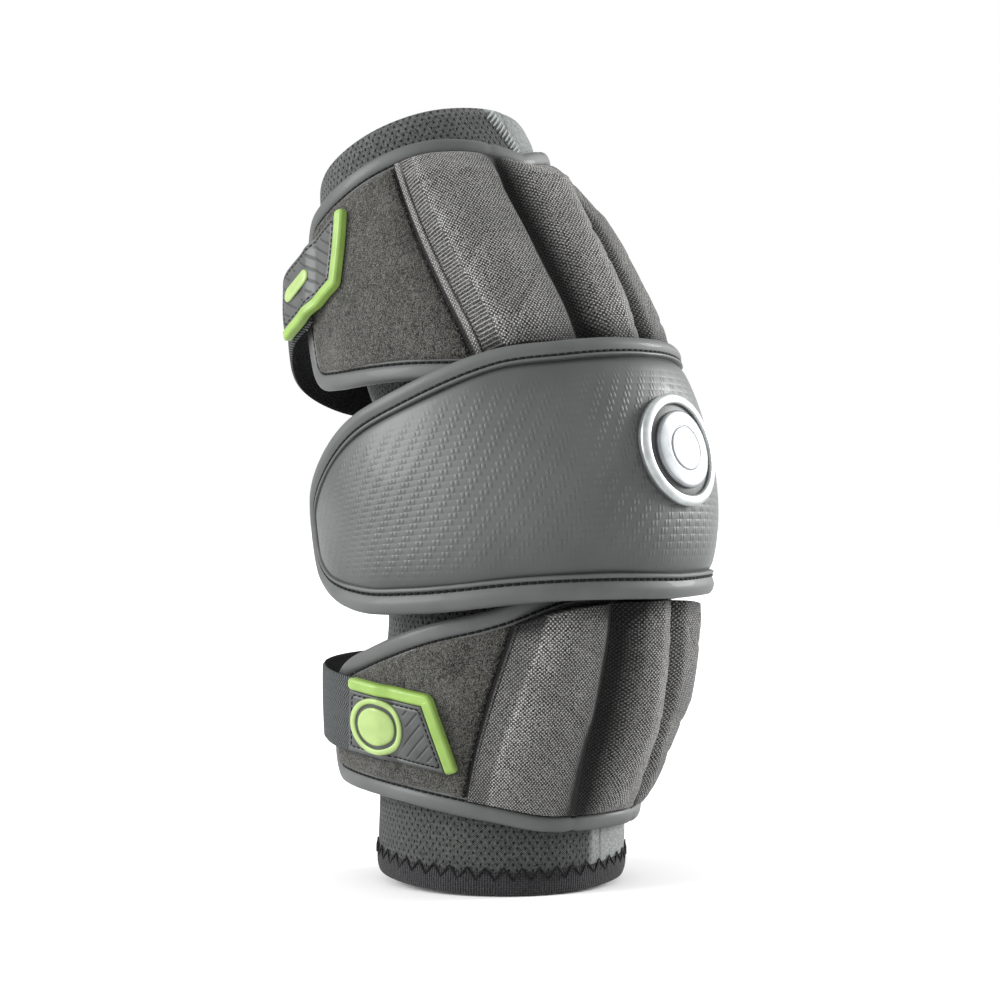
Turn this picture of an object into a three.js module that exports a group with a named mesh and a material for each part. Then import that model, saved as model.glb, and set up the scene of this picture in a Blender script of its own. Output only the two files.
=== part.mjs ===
// Arm pad for field sport, in the form that it has on a slightly bent arm.
// A knitted sleeve carries a padded guard above the elbow, another below it, a domed elbow cap and two closing straps.
//
// Units are millimetres. +Z runs up the arm, +X points out of the elbow, and the straps close on the -Y side.
// The origin is the middle of the arm inside the sleeve, at the elbow.
// A place on the pad is given by s, the length along the arm's centre line from the elbow, positive upwards,
// and by an angle round the arm in degrees, which is 0 at the elbow's point and grows towards the closing side.

import * as THREE from "three";

// Arm line
const BEND_DEG = 20.5; // how far the elbow is bent
const FOREARM_LEAN_DEG = 1.5; // the forearm's lean out of the vertical
const BEND_LENGTH = 100; // stretch of the centre line that bends

// Sleeve
const SLEEVE_UP = 137; // from the elbow to the upper rim
const SLEEVE_DOWN = 153.5; // from the elbow to the hem's lower edge
const SLEEVE_RIM_TILT = 8; // the upper rim is cut higher on its closing side by this much each way
const SLEEVE_RIM_TURN_DEG = 40; // the angle where the rim is highest
const SLEEVE_TOP_RADIUS = 45; // outside
const SLEEVE_HEM_RADIUS = 49;
const SLEEVE_WALL = 2;
const SLEEVE_WAIST = 3.5; // how much the sleeve narrows at the elbow
const ELBOW_BULGE = 12; // how far the elbow pushes the sleeve out
const ELBOW_REACH = 85; // the bulge fades out at this distance from the elbow
const HEM_HEIGHT = 9;
const HEM_WALL = 3;

// Clearance between pieces that lie on each other
const LIE = 0.6;

// Guards
const UPPER_FAR = 132; // from the elbow to the edge furthest from it
const UPPER_CLOSE = 27; // from the elbow to the edge that tucks under the cap
const LOWER_FAR = 129;
const LOWER_CLOSE = 34;
const GUARD_CORNER = 11; // corner radius of a wing
const PANEL_WALL = 3;
const GUARD_FLARE = 16; // how far a guard stands away from the sleeve near the elbow
const GUARD_SPREAD = 66; // mean radius that turns an angle on a guard into a length
const BINDING_WIDTH = 8;
const BINDING_PROUD = 1.3; // how far a binding stands over its panel
const RIB_HEIGHT = 12.5;
const RIB_EDGE = 1.2; // thickness of a rib at its seams
const RIB_SEAM = 1.2; // room between neighbouring ribs
const LOOP_WALL = 1.2; // brushed patch that the strap's end grips

// Elbow cap
const CAP_UP = 38.5;
const CAP_DOWN = 46;
const CAP_REACH = 90; // from the arm's centre line to the top of the dome
const CAP_DOME = 10.5; // how much the dome rises over its edges
const CAP_SIDE = 76.5; // half of the cap's width
const CAP_SIDE_DOME = 4;
const CAP_CROOK = 73; // half width towards the inside of the elbow
const CAP_APEX = -9; // where the dome is highest
const CAP_WALL = 7; // in the wings
const CAP_EDGE_WALL = 4;
const CAP_CORNER = 12;
const CAP_BINDING_WIDTH = 7.5;
const CAP_BINDING_PROUD = 1.7;
const CAP_SEAT = 22; // the cap rests on the sleeve up to this distance from the elbow
const CAP_TUCK = 9; // over this length the cap's inside opens to let a guard's edge under it

// Badge on the cap
const BADGE_HEIGHT = 1; // s of its centre
const BADGE_RADIUS = 21.8;
const BADGE_RIM = 4.2; // width of the raised rim
const BADGE_GROOVE = 3.2; // between the rim and the middle
const BADGE_BASE = 1; // thickness of the plate that rim and middle stand on
const BADGE_RAISE = 1.4;

// Straps
const STRAP_WIDTH = 30;
const STRAP_WALL = 1.6;
const UPPER_STRAP_LIFT = 6; // how far a strap stands off the wings' ends and inside the elbow
const LOWER_STRAP_LIFT = 3.8;
const STRAP_RISE_DEG = 14; // it rises to that over this angle from its tip
const STRAP_DOWN_DEG = 245; // from here it comes down to the wing that it is sewn to
const STRAP_SEWN_DEG = 255;

// Strap tabs. A tab is a strip with one slanted end, and its long side lies away from the elbow.
const TAB_WALL = 2.2;
const TAB_SHORT_SIDE = 35;
const TAB_SLANT = 12; // length of the slanted end
const TAB_WIDTH = 29;
const TAB_TIP = 6; // width that is left at the tip
const TAB_STEP_DEG = 7; // past the strap's end, the tab comes down to the patch over this angle
const RAIL_WIDTH = 4.6;
const RAIL_WALL = 3.4;
const UPPER_TAB = { s: 76, angle: 125, side: 1, turn: 0.26 }; // its corner where the strap enters, on the elbow's side
const LOWER_TAB = { s: -72, angle: 104, side: -1, turn: 0.13 };
const EMBLEM = { along: 13, across: 16.8, radius: 11, length: 22 }; // disc on the lower tab
const MARK = { along: 13.5, across: 17, radius: 3.3, length: 16 }; // bar with round ends on the upper tab
const EMBLEM_WALL = 0.9;

// Mesh steps
const SLEEVE_COLUMNS = 36;
const SLEEVE_ROWS = 15;
const SHELL_COLUMNS = 27;
const GUARD_ROWS = 7;
const CAP_ROWS = 10;
const EDGE_STEPS = 26;
const RIB_COLUMNS = 6;
const RIB_ROWS = 7;

// Edges of each guard. far is a share of its far size and close of its close size.
const UPPER_EDGES = [
  { angle: 0, far: 0.93, close: 1.0 },
  { angle: 30, far: 0.98, close: 1.02 },
  { angle: 52, far: 1.0, close: 1.15 },
  { angle: 75, far: 0.99, close: 1.38 },
  { angle: 102, far: 0.96, close: 1.67 },
  { angle: 126, far: 0.93, close: 2.0 },
];
const LOWER_EDGES = [
  { angle: 0, far: 1.0, close: 1.0 },
  { angle: 30, far: 1.0, close: 1.06 },
  { angle: 52, far: 0.97, close: 1.28 },
  { angle: 78, far: 0.94, close: 1.51 },
  { angle: 102, far: 0.92, close: 1.8 },
  { angle: 120, far: 0.91, close: 2.05 },
  { angle: 136, far: 0.9, close: 2.5 },
];
// How far a guard stands off the sleeve, as shares of GUARD_FLARE. along runs from 0 at the elbow to 1 at its far size.
const UPPER_FLARE = [
  { along: 0.2, outer: 0.87, side: 0.87, crook: 1.0 },
  { along: 0.35, outer: 0.87, side: 0.93, crook: 1.1 },
  { along: 0.6, outer: 0.5, side: 0.68, crook: 1.15 },
  { along: 0.8, outer: 0.12, side: 0.3, crook: 0.7 },
  { along: 1.0, outer: 0.0, side: 0.0, crook: 0.12 },
];
const LOWER_FLARE = [
  { along: 0.2, outer: 0.75, side: 0.78, crook: 1.0 },
  { along: 0.4, outer: 0.82, side: 0.88, crook: 1.05 },
  { along: 0.62, outer: 0.55, side: 0.72, crook: 1.15 },
  { along: 0.8, outer: 0.2, side: 0.45, crook: 1.2 },
  { along: 1.0, outer: 0.0, side: 0.15, crook: 1.15 },
];
// Seams between the ribs of a guard, in degrees. The first is the rib field's outer seam, the second the inner one.
const UPPER_SEAMS = [
  { along: 0.25, field: 50, valley: 13 },
  { along: 1.0, field: 65, valley: 19 },
];
const LOWER_SEAMS = [
  { along: 0.33, field: 45, valley: 13 },
  { along: 0.62, field: 54, valley: 15 },
  { along: 1.0, field: 65, valley: 19 },
];
// Edges of the cap as shares of CAP_UP and CAP_DOWN.
const CAP_EDGES = [
  { angle: 0, up: 0.96, down: 0.91 },
  { angle: 30, up: 0.975, down: 0.9 },
  { angle: 50, up: 1.0, down: 0.92 },
  { angle: 77, up: 0.88, down: 0.99 },
  { angle: 98, up: 0.73, down: 1.0 },
  { angle: 118, up: 0.4, down: 0.88 },
  { angle: 136, up: 0.02, down: 0.6 },
];
// The strap's middle line, from under the tab, through the inside of the elbow, to where it is sewn on.
const UPPER_STRAP = [
  { angle: 114, s: 93 },
  { angle: 124, s: 90.5 },
  { angle: 160, s: 79 },
  { angle: 190, s: 72 },
  { angle: 262, s: 74 },
];
const LOWER_STRAP = [
  { angle: 95, s: -89 },
  { angle: 104, s: -88 },
  { angle: 150, s: -85 },
  { angle: 190, s: -84 },
  { angle: 262, s: -87 },
];

const RAD = Math.PI / 180;
const clamp = THREE.MathUtils.clamp;
const lerp = THREE.MathUtils.lerp;
const evenly = (steps) => Array.from({ length: steps + 1 }, (_, i) => i / steps);
const finerToEnd = (steps) => evenly(steps).map((share) => 1 - (1 - share) ** 1.25);
const smooth = (x, from, to) => THREE.MathUtils.smoothstep(x, Math.min(from, to), Math.max(from, to));

// Smooth curve through one column of a table, level beyond the table's ends.
function through(table, key, column, at) {
  const last = table.length - 1;
  if (at <= table[0][key]) return table[0][column];
  if (at >= table[last][key]) return table[last][column];
  let i = 0;
  while (table[i + 1][key] < at) i += 1;
  const slope = (k) => {
    const [before, after] = [table[Math.max(0, k - 1)], table[Math.min(last, k + 1)]];
    return (after[column] - before[column]) / (after[key] - before[key]);
  };
  const step = table[i + 1][key] - table[i][key];
  const t = (at - table[i][key]) / step;
  const [a, b] = [table[i][column], table[i + 1][column]];
  const bend = step * (t * (1 - t) ** 2 * slope(i) - t * t * (1 - t) * slope(i + 1));
  return a + (b - a) * t * t * (3 - 2 * t) + bend;
}

// The arm's centre line: two straight stretches and an arc between them, with the elbow in the arc's middle.
const BEND = BEND_DEG * RAD;
const MIDDLE_LEAN = BEND / 2 - FOREARM_LEAN_DEG * RAD;
const leanAt = (s) => MIDDLE_LEAN + BEND * clamp(s / BEND_LENGTH, -0.5, 0.5);
function armAt(s) {
  const onArc = clamp(s, -BEND_LENGTH / 2, BEND_LENGTH / 2);
  const radius = BEND_LENGTH / BEND;
  const lean = leanAt(s);
  const x = radius * (Math.cos(lean) - Math.cos(MIDDLE_LEAN)) - Math.sin(lean) * (s - onArc);
  const z = radius * (Math.sin(lean) - Math.sin(MIDDLE_LEAN)) + Math.cos(lean) * (s - onArc);
  return { centre: new THREE.Vector3(x, 0, z), out: new THREE.Vector3(Math.cos(lean), 0, Math.sin(lean)) };
}

// A skin is a tube round the arm. axes(s) gives its half sizes: outer at the elbow's side, crook inside it, and side.
const skin = (axes) => (s, angle) => {
  const { centre, out } = armAt(s);
  const { outer, crook, side } = axes(s);
  const across = Math.cos(angle * RAD);
  return centre
    .clone()
    .addScaledVector(out, across * (across > 0 ? outer : crook))
    .add(new THREE.Vector3(0, -side * Math.sin(angle * RAD), 0));
};
const grown = (axes, by) => (s) => {
  const { outer, crook, side } = axes(s);
  return { outer: outer + by, crook: crook + by, side: side + by };
};

const endRadius = (s) => lerp(SLEEVE_HEM_RADIUS, SLEEVE_TOP_RADIUS, smooth(s, -SLEEVE_DOWN, SLEEVE_UP));
function sleeveAxes(s) {
  const ease = Math.cos((clamp(s / ELBOW_REACH, -1, 1) * Math.PI) / 2) ** 2;
  const radius = endRadius(s) - SLEEVE_WAIST * ease;
  return { outer: radius + ELBOW_BULGE * ease, crook: radius, side: radius };
}

// taper is the length over which a guard's ribs fall away to their outer ends.
const guards = {
  upper: {
    up: 1,
    far: UPPER_FAR,
    close: UPPER_CLOSE,
    edges: UPPER_EDGES,
    flare: UPPER_FLARE,
    seams: UPPER_SEAMS,
    taper: 12,
    strap: UPPER_STRAP,
    strapLift: UPPER_STRAP_LIFT,
    tab: UPPER_TAB,
  },
  lower: {
    up: -1,
    far: LOWER_FAR,
    close: LOWER_CLOSE,
    edges: LOWER_EDGES,
    flare: LOWER_FLARE,
    seams: LOWER_SEAMS,
    taper: 38,
    strap: LOWER_STRAP,
    strapLift: LOWER_STRAP_LIFT,
    tab: LOWER_TAB,
  },
};
const alongOf = (guard, s) => (guard.up * s) / guard.far;
// The outside of a guard's panel, and its inside, which lies on the sleeve at the elbow's side.
const panelOuter = (guard) => (s) => {
  const standing = (column) =>
    endRadius(s) + LIE + PANEL_WALL + GUARD_FLARE * through(guard.flare, "along", column, alongOf(guard, s));
  const outer = Math.max(standing("outer"), sleeveAxes(s).outer + LIE + PANEL_WALL);
  return { outer, crook: standing("crook"), side: standing("side") };
};
const panelInner = (guard) => (s) => {
  const { crook, side } = panelOuter(guard)(s);
  return { outer: sleeveAxes(s).outer + LIE, crook: crook - PANEL_WALL, side: side - PANEL_WALL };
};

function domeAt(s) {
  const reach = s > CAP_APEX ? CAP_UP - CAP_APEX : CAP_DOWN + CAP_APEX;
  return clamp(Math.abs(s - CAP_APEX) / reach, 0, 1) ** 2;
}
const capOuter = (s) => ({
  outer: CAP_REACH - CAP_DOME * domeAt(s),
  crook: CAP_CROOK - CAP_SIDE_DOME * domeAt(s),
  side: CAP_SIDE - CAP_SIDE_DOME * domeAt(s),
});
// The cap's inside lies on the sleeve round the elbow, and opens at its edges over the guards.
function capInner(s) {
  const { outer, crook, side } = capOuter(s);
  const wall = lerp(CAP_WALL, CAP_EDGE_WALL, domeAt(s));
  const open = smooth(Math.abs(s), CAP_SEAT, CAP_SEAT + CAP_TUCK);
  return { outer: lerp(sleeveAxes(s).outer + LIE, outer - wall, open), crook: crook - wall, side: side - wall };
}

// A closed body through loops of points, which all have the same even number of points.
// Where the loops don't close into a ring, the first and last are capped by joining opposite points.
function loft(loops, ring) {
  const count = loops[0].length;
  const quads = [];
  const lastLoop = ring ? loops.length : loops.length - 1;
  for (let i = 0; i < lastLoop; i += 1) {
    for (let k = 0; k < count; k += 1) {
      const [here, next] = [i * count, ((i + 1) % loops.length) * count];
      const after = (k + 1) % count;
      quads.push([here + k, next + k, next + after, here + after]);
    }
  }
  for (let k = 0; !ring && k < count / 2 - 1; k += 1) {
    const end = (loops.length - 1) * count;
    quads.push([k, k + 1, count - 2 - k, count - 1 - k]);
    quads.push([end + k, end + count - 1 - k, end + count - 2 - k, end + k + 1]);
  }
  return facingOut(loops.flat(), quads);
}

// A geometry from quads, turned round if its faces point inwards.
function facingOut(points, quads) {
  const triangles = quads.flatMap(([a, b, c, d]) => [a, b, c, a, c, d]);
  let volume = 0;
  for (let i = 0; i < triangles.length; i += 3) {
    const [a, b, c] = triangles.slice(i, i + 3).map((n) => points[n]);
    volume += a.dot(b.clone().cross(c));
  }
  if (volume < 0) triangles.reverse();
  const geometry = new THREE.BufferGeometry().setFromPoints(points);
  geometry.setIndex(triangles);
  geometry.computeVertexNormals();
  return geometry;
}

// A wall between two skins. place(u, v) says where on the arm each point of the wall is, with u and v from 0 to 1.
function wall(inner, outer, place, columns, rowShares, ring = false) {
  const columnShares = ring ? evenly(columns).slice(0, -1) : evenly(columns);
  const loops = columnShares.map((u) => {
    const face = (surface, v) => {
      const { s, angle } = place(u, v);
      return surface(s, angle, u, v);
    };
    return [...rowShares.map((v) => face(inner, v)), ...rowShares.map((v) => face(outer, v)).reverse()];
  });
  return loft(loops, ring);
}

// Outline of a wrapped shell, as points { s, angle }, cut in by the given length on all sides.
// The lower edge comes first, then the upper one backwards. radiusAt turns an angle at an s into a length.
function outlineOf({ wrap, corner, radiusAt, low, high }, cutIn) {
  const edge = (angle, height, towards) => {
    const s = height(Math.abs(angle));
    const past = clamp(corner - (wrap - Math.abs(angle)) * RAD * radiusAt(s), 0, corner);
    return { s: s + towards * (corner - Math.sqrt(corner ** 2 - past ** 2)), angle };
  };
  // Steps are finer towards the wings' ends.
  const angles = evenly(EDGE_STEPS).map((share) => {
    const t = 2 * share - 1;
    return wrap * Math.sin((t * Math.PI) / 2) * (1 - 0.12 * (1 - t * t));
  });
  const lower = angles.map((angle) => edge(angle, low, 1));
  const upper = angles.map((angle) => edge(angle, high, -1)).reverse();
  const points = [...lower, ...upper];
  return points.map(({ s, angle }, i) => {
    const before = points[(i + points.length - 1) % points.length];
    const after = points[(i + 1) % points.length];
    const toLength = radiusAt(s) * RAD;
    const run = new THREE.Vector2((after.angle - before.angle) * toLength, after.s - before.s).normalize();
    return { s: s + run.x * cutIn, angle: angle - (run.y * cutIn) / toLength };
  });
}

// The wall that fills an outline, by reading its lower and upper edge at each angle.
function fill(shape, cutIn, inner, outer, rowShares) {
  const points = outlineOf(shape, cutIn);
  const lower = points.slice(0, points.length / 2);
  const upper = points.slice(points.length / 2).reverse();
  const read = (edge, angle) => {
    let i = 0;
    while (i < edge.length - 2 && edge[i + 1].angle < angle) i += 1;
    const share = clamp((angle - edge[i].angle) / (edge[i + 1].angle - edge[i].angle), 0, 1);
    return lerp(edge[i].s, edge[i + 1].s, share);
  };
  const end = Math.min(lower.at(-1).angle, upper.at(-1).angle);
  const place = (u, v) => {
    const angle = lerp(-end, end, u);
    return { s: lerp(read(lower, angle), read(upper, angle), v), angle };
  };
  return wall(inner, outer, place, SHELL_COLUMNS, rowShares);
}

// A rounded bar along places on a skin. across points to the left of the way along, and up out of the skin.
function barOn(surface, places, width, low, high, ring, sides = 8) {
  const points = places.map(({ s, angle }) => surface(s, angle));
  const loops = points.map((point, i) => {
    const before = points[ring ? (i + points.length - 1) % points.length : Math.max(0, i - 1)];
    const after = points[ring ? (i + 1) % points.length : Math.min(points.length - 1, i + 1)];
    const { s, angle } = places[i];
    const round = surface(s, angle + 1).sub(surface(s, angle - 1));
    const up = surface(s + 1, angle).sub(surface(s - 1, angle)).cross(round).normalize();
    const along = after.clone().sub(before);
    const across = up.clone().cross(along).normalize();
    const loop = [];
    for (let k = 0; k < sides; k += 1) {
      const turn = ((k + 0.5) * 2 * Math.PI) / sides;
      const rise = lerp(low, high, 0.5 + 0.5 * Math.sin(turn) / Math.cos(Math.PI / sides));
      const shift = (0.5 * width * Math.cos(turn)) / Math.cos(Math.PI / sides);
      loop.push(point.clone().addScaledVector(across, shift).addScaledVector(up, rise));
    }
    return loop;
  });
  return loft(loops, ring);
}

const materials = {
  mesh: { color: 0x6a6f6f, roughness: 0.9, metalness: 0 },
  hem: { color: 0x4b4b4b, roughness: 0.95, metalness: 0 },
  panel: { color: 0x555555, roughness: 0.9, metalness: 0 },
  binding: { color: 0x757778, roughness: 0.55, metalness: 0 },
  ribs: { color: 0x7d7a78, roughness: 0.85, metalness: 0 },
  loop: { color: 0x565552, roughness: 1, metalness: 0 },
  cap: { color: 0x6c6f6f, roughness: 0.5, metalness: 0 },
  strap: { color: 0x4a4c4c, roughness: 0.9, metalness: 0 },
  tab: { color: 0x646665, roughness: 0.6, metalness: 0 },
  lime: { color: 0x9fd05a, roughness: 0.5, metalness: 0 },
  silver: { color: 0xd9dadb, roughness: 0.3, metalness: 0.8 },
};

const pad = new THREE.Group();
function add(name, finish, geometry) {
  const mesh = new THREE.Mesh(geometry, new THREE.MeshStandardMaterial(materials[finish]));
  mesh.name = name;
  pad.add(mesh);
}

function addSleeve() {
  const hemTop = -SLEEVE_DOWN + HEM_HEIGHT;
  const rim = (angle) => SLEEVE_UP + SLEEVE_RIM_TILT * Math.cos((angle - SLEEVE_RIM_TURN_DEG) * RAD);
  const place = (u, v) => ({ s: lerp(hemTop + LIE, rim(u * 360), v), angle: u * 360 });
  const inner = skin(grown(sleeveAxes, -SLEEVE_WALL));
  add("sleeve", "mesh", wall(inner, skin(sleeveAxes), place, SLEEVE_COLUMNS, evenly(SLEEVE_ROWS), true));

  const hemOver = (HEM_WALL - SLEEVE_WALL) / 2;
  const hemPlace = (u, v) => ({ s: lerp(-SLEEVE_DOWN, hemTop, v), angle: u * 360 });
  const hemInner = skin(grown(sleeveAxes, -SLEEVE_WALL - hemOver));
  add("hem", "hem", wall(hemInner, skin(grown(sleeveAxes, hemOver)), hemPlace, SLEEVE_COLUMNS, evenly(1), true));
}

function guardShape(guard) {
  const far = (angle) => guard.up * guard.far * through(guard.edges, "angle", "far", angle);
  const close = (angle) => guard.up * guard.close * through(guard.edges, "angle", "close", angle);
  const [low, high] = guard.up > 0 ? [close, far] : [far, close];
  const radiusAt = (s) => panelOuter(guard)(s).side;
  return { wrap: guard.edges.at(-1).angle, corner: GUARD_CORNER, radiusAt, low, high };
}

const capShape = {
  wrap: CAP_EDGES.at(-1).angle,
  corner: CAP_CORNER,
  radiusAt: () => CAP_SIDE,
  low: (angle) => -CAP_DOWN * through(CAP_EDGES, "angle", "down", angle),
  high: (angle) => CAP_UP * through(CAP_EDGES, "angle", "up", angle),
};

// Between two lines from the cap to a guard's far edge. leftAt and rightAt give the lines' angles at an s, and
// startAt and endAt give the s where a place at an angle starts and ends.
function between(leftAt, rightAt, startAt, endAt) {
  return (u, v) => {
    const angleAt = (s) => lerp(leftAt(s), rightAt(s), u);
    const meet = (edge) => [0, 1, 2, 3].reduce((s) => edge(Math.abs(angleAt(s))), edge(Math.abs(angleAt(0))));
    const s = lerp(meet(startAt), meet(endAt), v);
    return { s, angle: angleAt(s) };
  };
}

// A rib between two seams of a guard. It is full at the cap and falls away towards the guard's far edge.
function ribBetween(guard, seamA, seamB) {
  const shape = guardShape(guard);
  const [capEdge, closeEdge, farEdge] =
    guard.up > 0 ? [capShape.high, shape.low, shape.high] : [capShape.low, shape.high, shape.low];
  const start = (angle) => {
    const clearOfCap = guard.up * capEdge(angle) + LIE;
    const clearOfBinding = guard.up * closeEdge(angle) + BINDING_WIDTH + LIE;
    return guard.up * Math.max(clearOfCap, clearOfBinding);
  };
  const end = (angle) => farEdge(angle) - guard.up * (BINDING_WIDTH + LIE);
  const seam = ({ column, sign, gap }) => (s) =>
    sign * (through(guard.seams, "along", column, alongOf(guard, s)) + gap / (GUARD_SPREAD * RAD));
  const bed = skin(grown(panelOuter(guard), LIE));
  const top = (s, angle, u, v) => {
    const length = Math.abs(end(Math.abs(angle)) - start(Math.abs(angle)));
    const crest = (1 - Math.abs(2 * u - 1) ** 3.2) ** 0.55;
    const fall = Math.sqrt(clamp(((1 - v) * length) / guard.taper, 0, 1));
    const height = RIB_EDGE + (RIB_HEIGHT - RIB_EDGE) * crest * fall;
    return skin(grown(panelOuter(guard), LIE + height))(s, angle);
  };
  return wall(bed, top, between(seam(seamA), seam(seamB), start, end), RIB_COLUMNS, finerToEnd(RIB_ROWS));
}

function addGuard(name, guard) {
  const shape = guardShape(guard);
  const [inner, outer] = [skin(panelInner(guard)), skin(panelOuter(guard))];
  add(`${name}_panel`, "panel", fill(shape, BINDING_WIDTH + LIE, inner, outer, evenly(GUARD_ROWS)));
  const bindingWidth = BINDING_WIDTH - LIE;
  const path = outlineOf(shape, bindingWidth / 2);
  add(`${name}_binding`, "binding", barOn(outer, path, bindingWidth, -PANEL_WALL, BINDING_PROUD, true));

  const seams = [
    { column: "field", sign: 1, gap: 0 },
    { column: "valley", sign: 1, gap: RIB_SEAM / 2 },
    { column: "valley", sign: 1, gap: -RIB_SEAM / 2 },
    { column: "valley", sign: -1, gap: -RIB_SEAM / 2 },
    { column: "valley", sign: -1, gap: RIB_SEAM / 2 },
    { column: "field", sign: -1, gap: 0 },
  ];
  for (let i = 0; i < 3; i += 1) {
    add(`${name}_rib_${i + 1}`, "ribs", ribBetween(guard, seams[2 * i], seams[2 * i + 1]));
  }

  // The brushed patch fills the closing wing, from the rib field's seam to the binding.
  const inset = BINDING_WIDTH + 2 * LIE;
  const [low, high] = [shape.low, shape.high];
  const seamAt = (s) => through(guard.seams, "along", "field", alongOf(guard, s)) + RIB_SEAM / (GUARD_SPREAD * RAD);
  const wingEnd = () => shape.wrap - (inset + GUARD_CORNER / 2) / (GUARD_SPREAD * RAD);
  const place = between(seamAt, wingEnd, (angle) => low(angle) + inset, (angle) => high(angle) - inset);
  const [bed, top] = [LIE, LIE + LOOP_WALL].map((by) => skin(grown(panelOuter(guard), by)));
  add(`${name}_loop_patch`, "loop", wall(bed, top, place, 6, evenly(GUARD_ROWS)));
}

function addCap() {
  const [inner, outer] = [skin(capInner), skin(capOuter)];
  add("cap_shell", "cap", fill(capShape, CAP_BINDING_WIDTH + LIE, inner, outer, evenly(CAP_ROWS)));
  const bindingWidth = CAP_BINDING_WIDTH - LIE;
  const half = CAP_EDGE_WALL / 2 + CAP_BINDING_PROUD;
  const path = outlineOf(capShape, bindingWidth / 2);
  const middle = skin(grown(capOuter, -CAP_EDGE_WALL / 2));
  add("cap_binding", "binding", barOn(middle, path, bindingWidth, -half, half, true));
}

// A ring or disc between two skins. at(right, up) says where on the arm a point of its face is.
function ringOn(at, inner, outer, outerRadius, innerRadius, steps) {
  const loops = [];
  for (let i = 0; i < steps; i += 1) {
    const turn = (i * 2 * Math.PI) / steps;
    const corner = (surface, radius) => {
      const { s, angle } = at(radius * Math.cos(turn), radius * Math.sin(turn));
      return surface(s, angle);
    };
    const deep = [innerRadius, outerRadius].map((radius) => corner(inner, radius));
    const high = [outerRadius, innerRadius].map((radius) => corner(outer, radius));
    loops.push([...deep, ...high]);
  }
  return loft(loops, true);
}
// straight is the length between the round ends, 0 for a disc. steps is odd, so that the middle stays straight.
function discOn(at, inner, outer, radius, straight, steps, rows) {
  const place = (u, v) => {
    const turn = lerp(0.5 / steps, 1 - 0.5 / steps, u) * Math.PI;
    const right = -radius * Math.cos(turn) + (straight / 2) * Math.sign(u - 0.5);
    return at(right, radius * Math.sin(turn) * (2 * v - 1));
  };
  return wall(inner, outer, place, steps, evenly(rows));
}

function addBadge() {
  const spread = 1 + (CAP_REACH * BEND_DEG * RAD) / BEND_LENGTH; // of lengths along the outside of the bend
  const at = (right, up) => ({ s: BADGE_HEIGHT + up / spread, angle: right / (CAP_SIDE * RAD) });
  const over = (height) => skin(grown(capOuter, height));
  const base = LIE + BADGE_BASE;
  const top = base + LIE + BADGE_RAISE;
  const innerRadius = BADGE_RADIUS - BADGE_RIM;
  add("badge_plate", "tab", discOn(at, over(LIE), over(base), BADGE_RADIUS, 0, 13, 4));
  add("badge_rim", "silver", ringOn(at, over(base + LIE), over(top), BADGE_RADIUS, innerRadius, 24));
  add("badge_disc", "silver", discOn(at, over(base + LIE), over(top), innerRadius - BADGE_GROOVE, 0, 11, 2));
}

// How far a strap's inside lies off the guard's panel at an angle: it lies on the patch at its tip, stands off round
// the wings' ends and the inside of the elbow, and lies on the other wing where it is sewn on.
function strapLift({ strap, strapLift: most }, angle) {
  const onPatch = LIE + LOOP_WALL + LIE;
  const offPatch = lerp(onPatch, most, smooth(angle, strap[0].angle, strap[0].angle + STRAP_RISE_DEG));
  return lerp(offPatch, LIE, smooth(angle, STRAP_DOWN_DEG, STRAP_SEWN_DEG));
}
function addStrap(name, guard) {
  const place = (u, v) => {
    const angle = lerp(guard.strap[0].angle, guard.strap.at(-1).angle, u);
    return { s: through(guard.strap, "angle", "s", angle) + STRAP_WIDTH * (v - 0.5), angle };
  };
  const [inside, outside] = [0, STRAP_WALL].map(
    (more) => (s, angle) => skin(grown(panelOuter(guard), strapLift(guard, angle) + more))(s, angle),
  );
  add(`${name}_strap`, "strap", wall(inside, outside, place, 22, evenly(2)));
}

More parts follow.
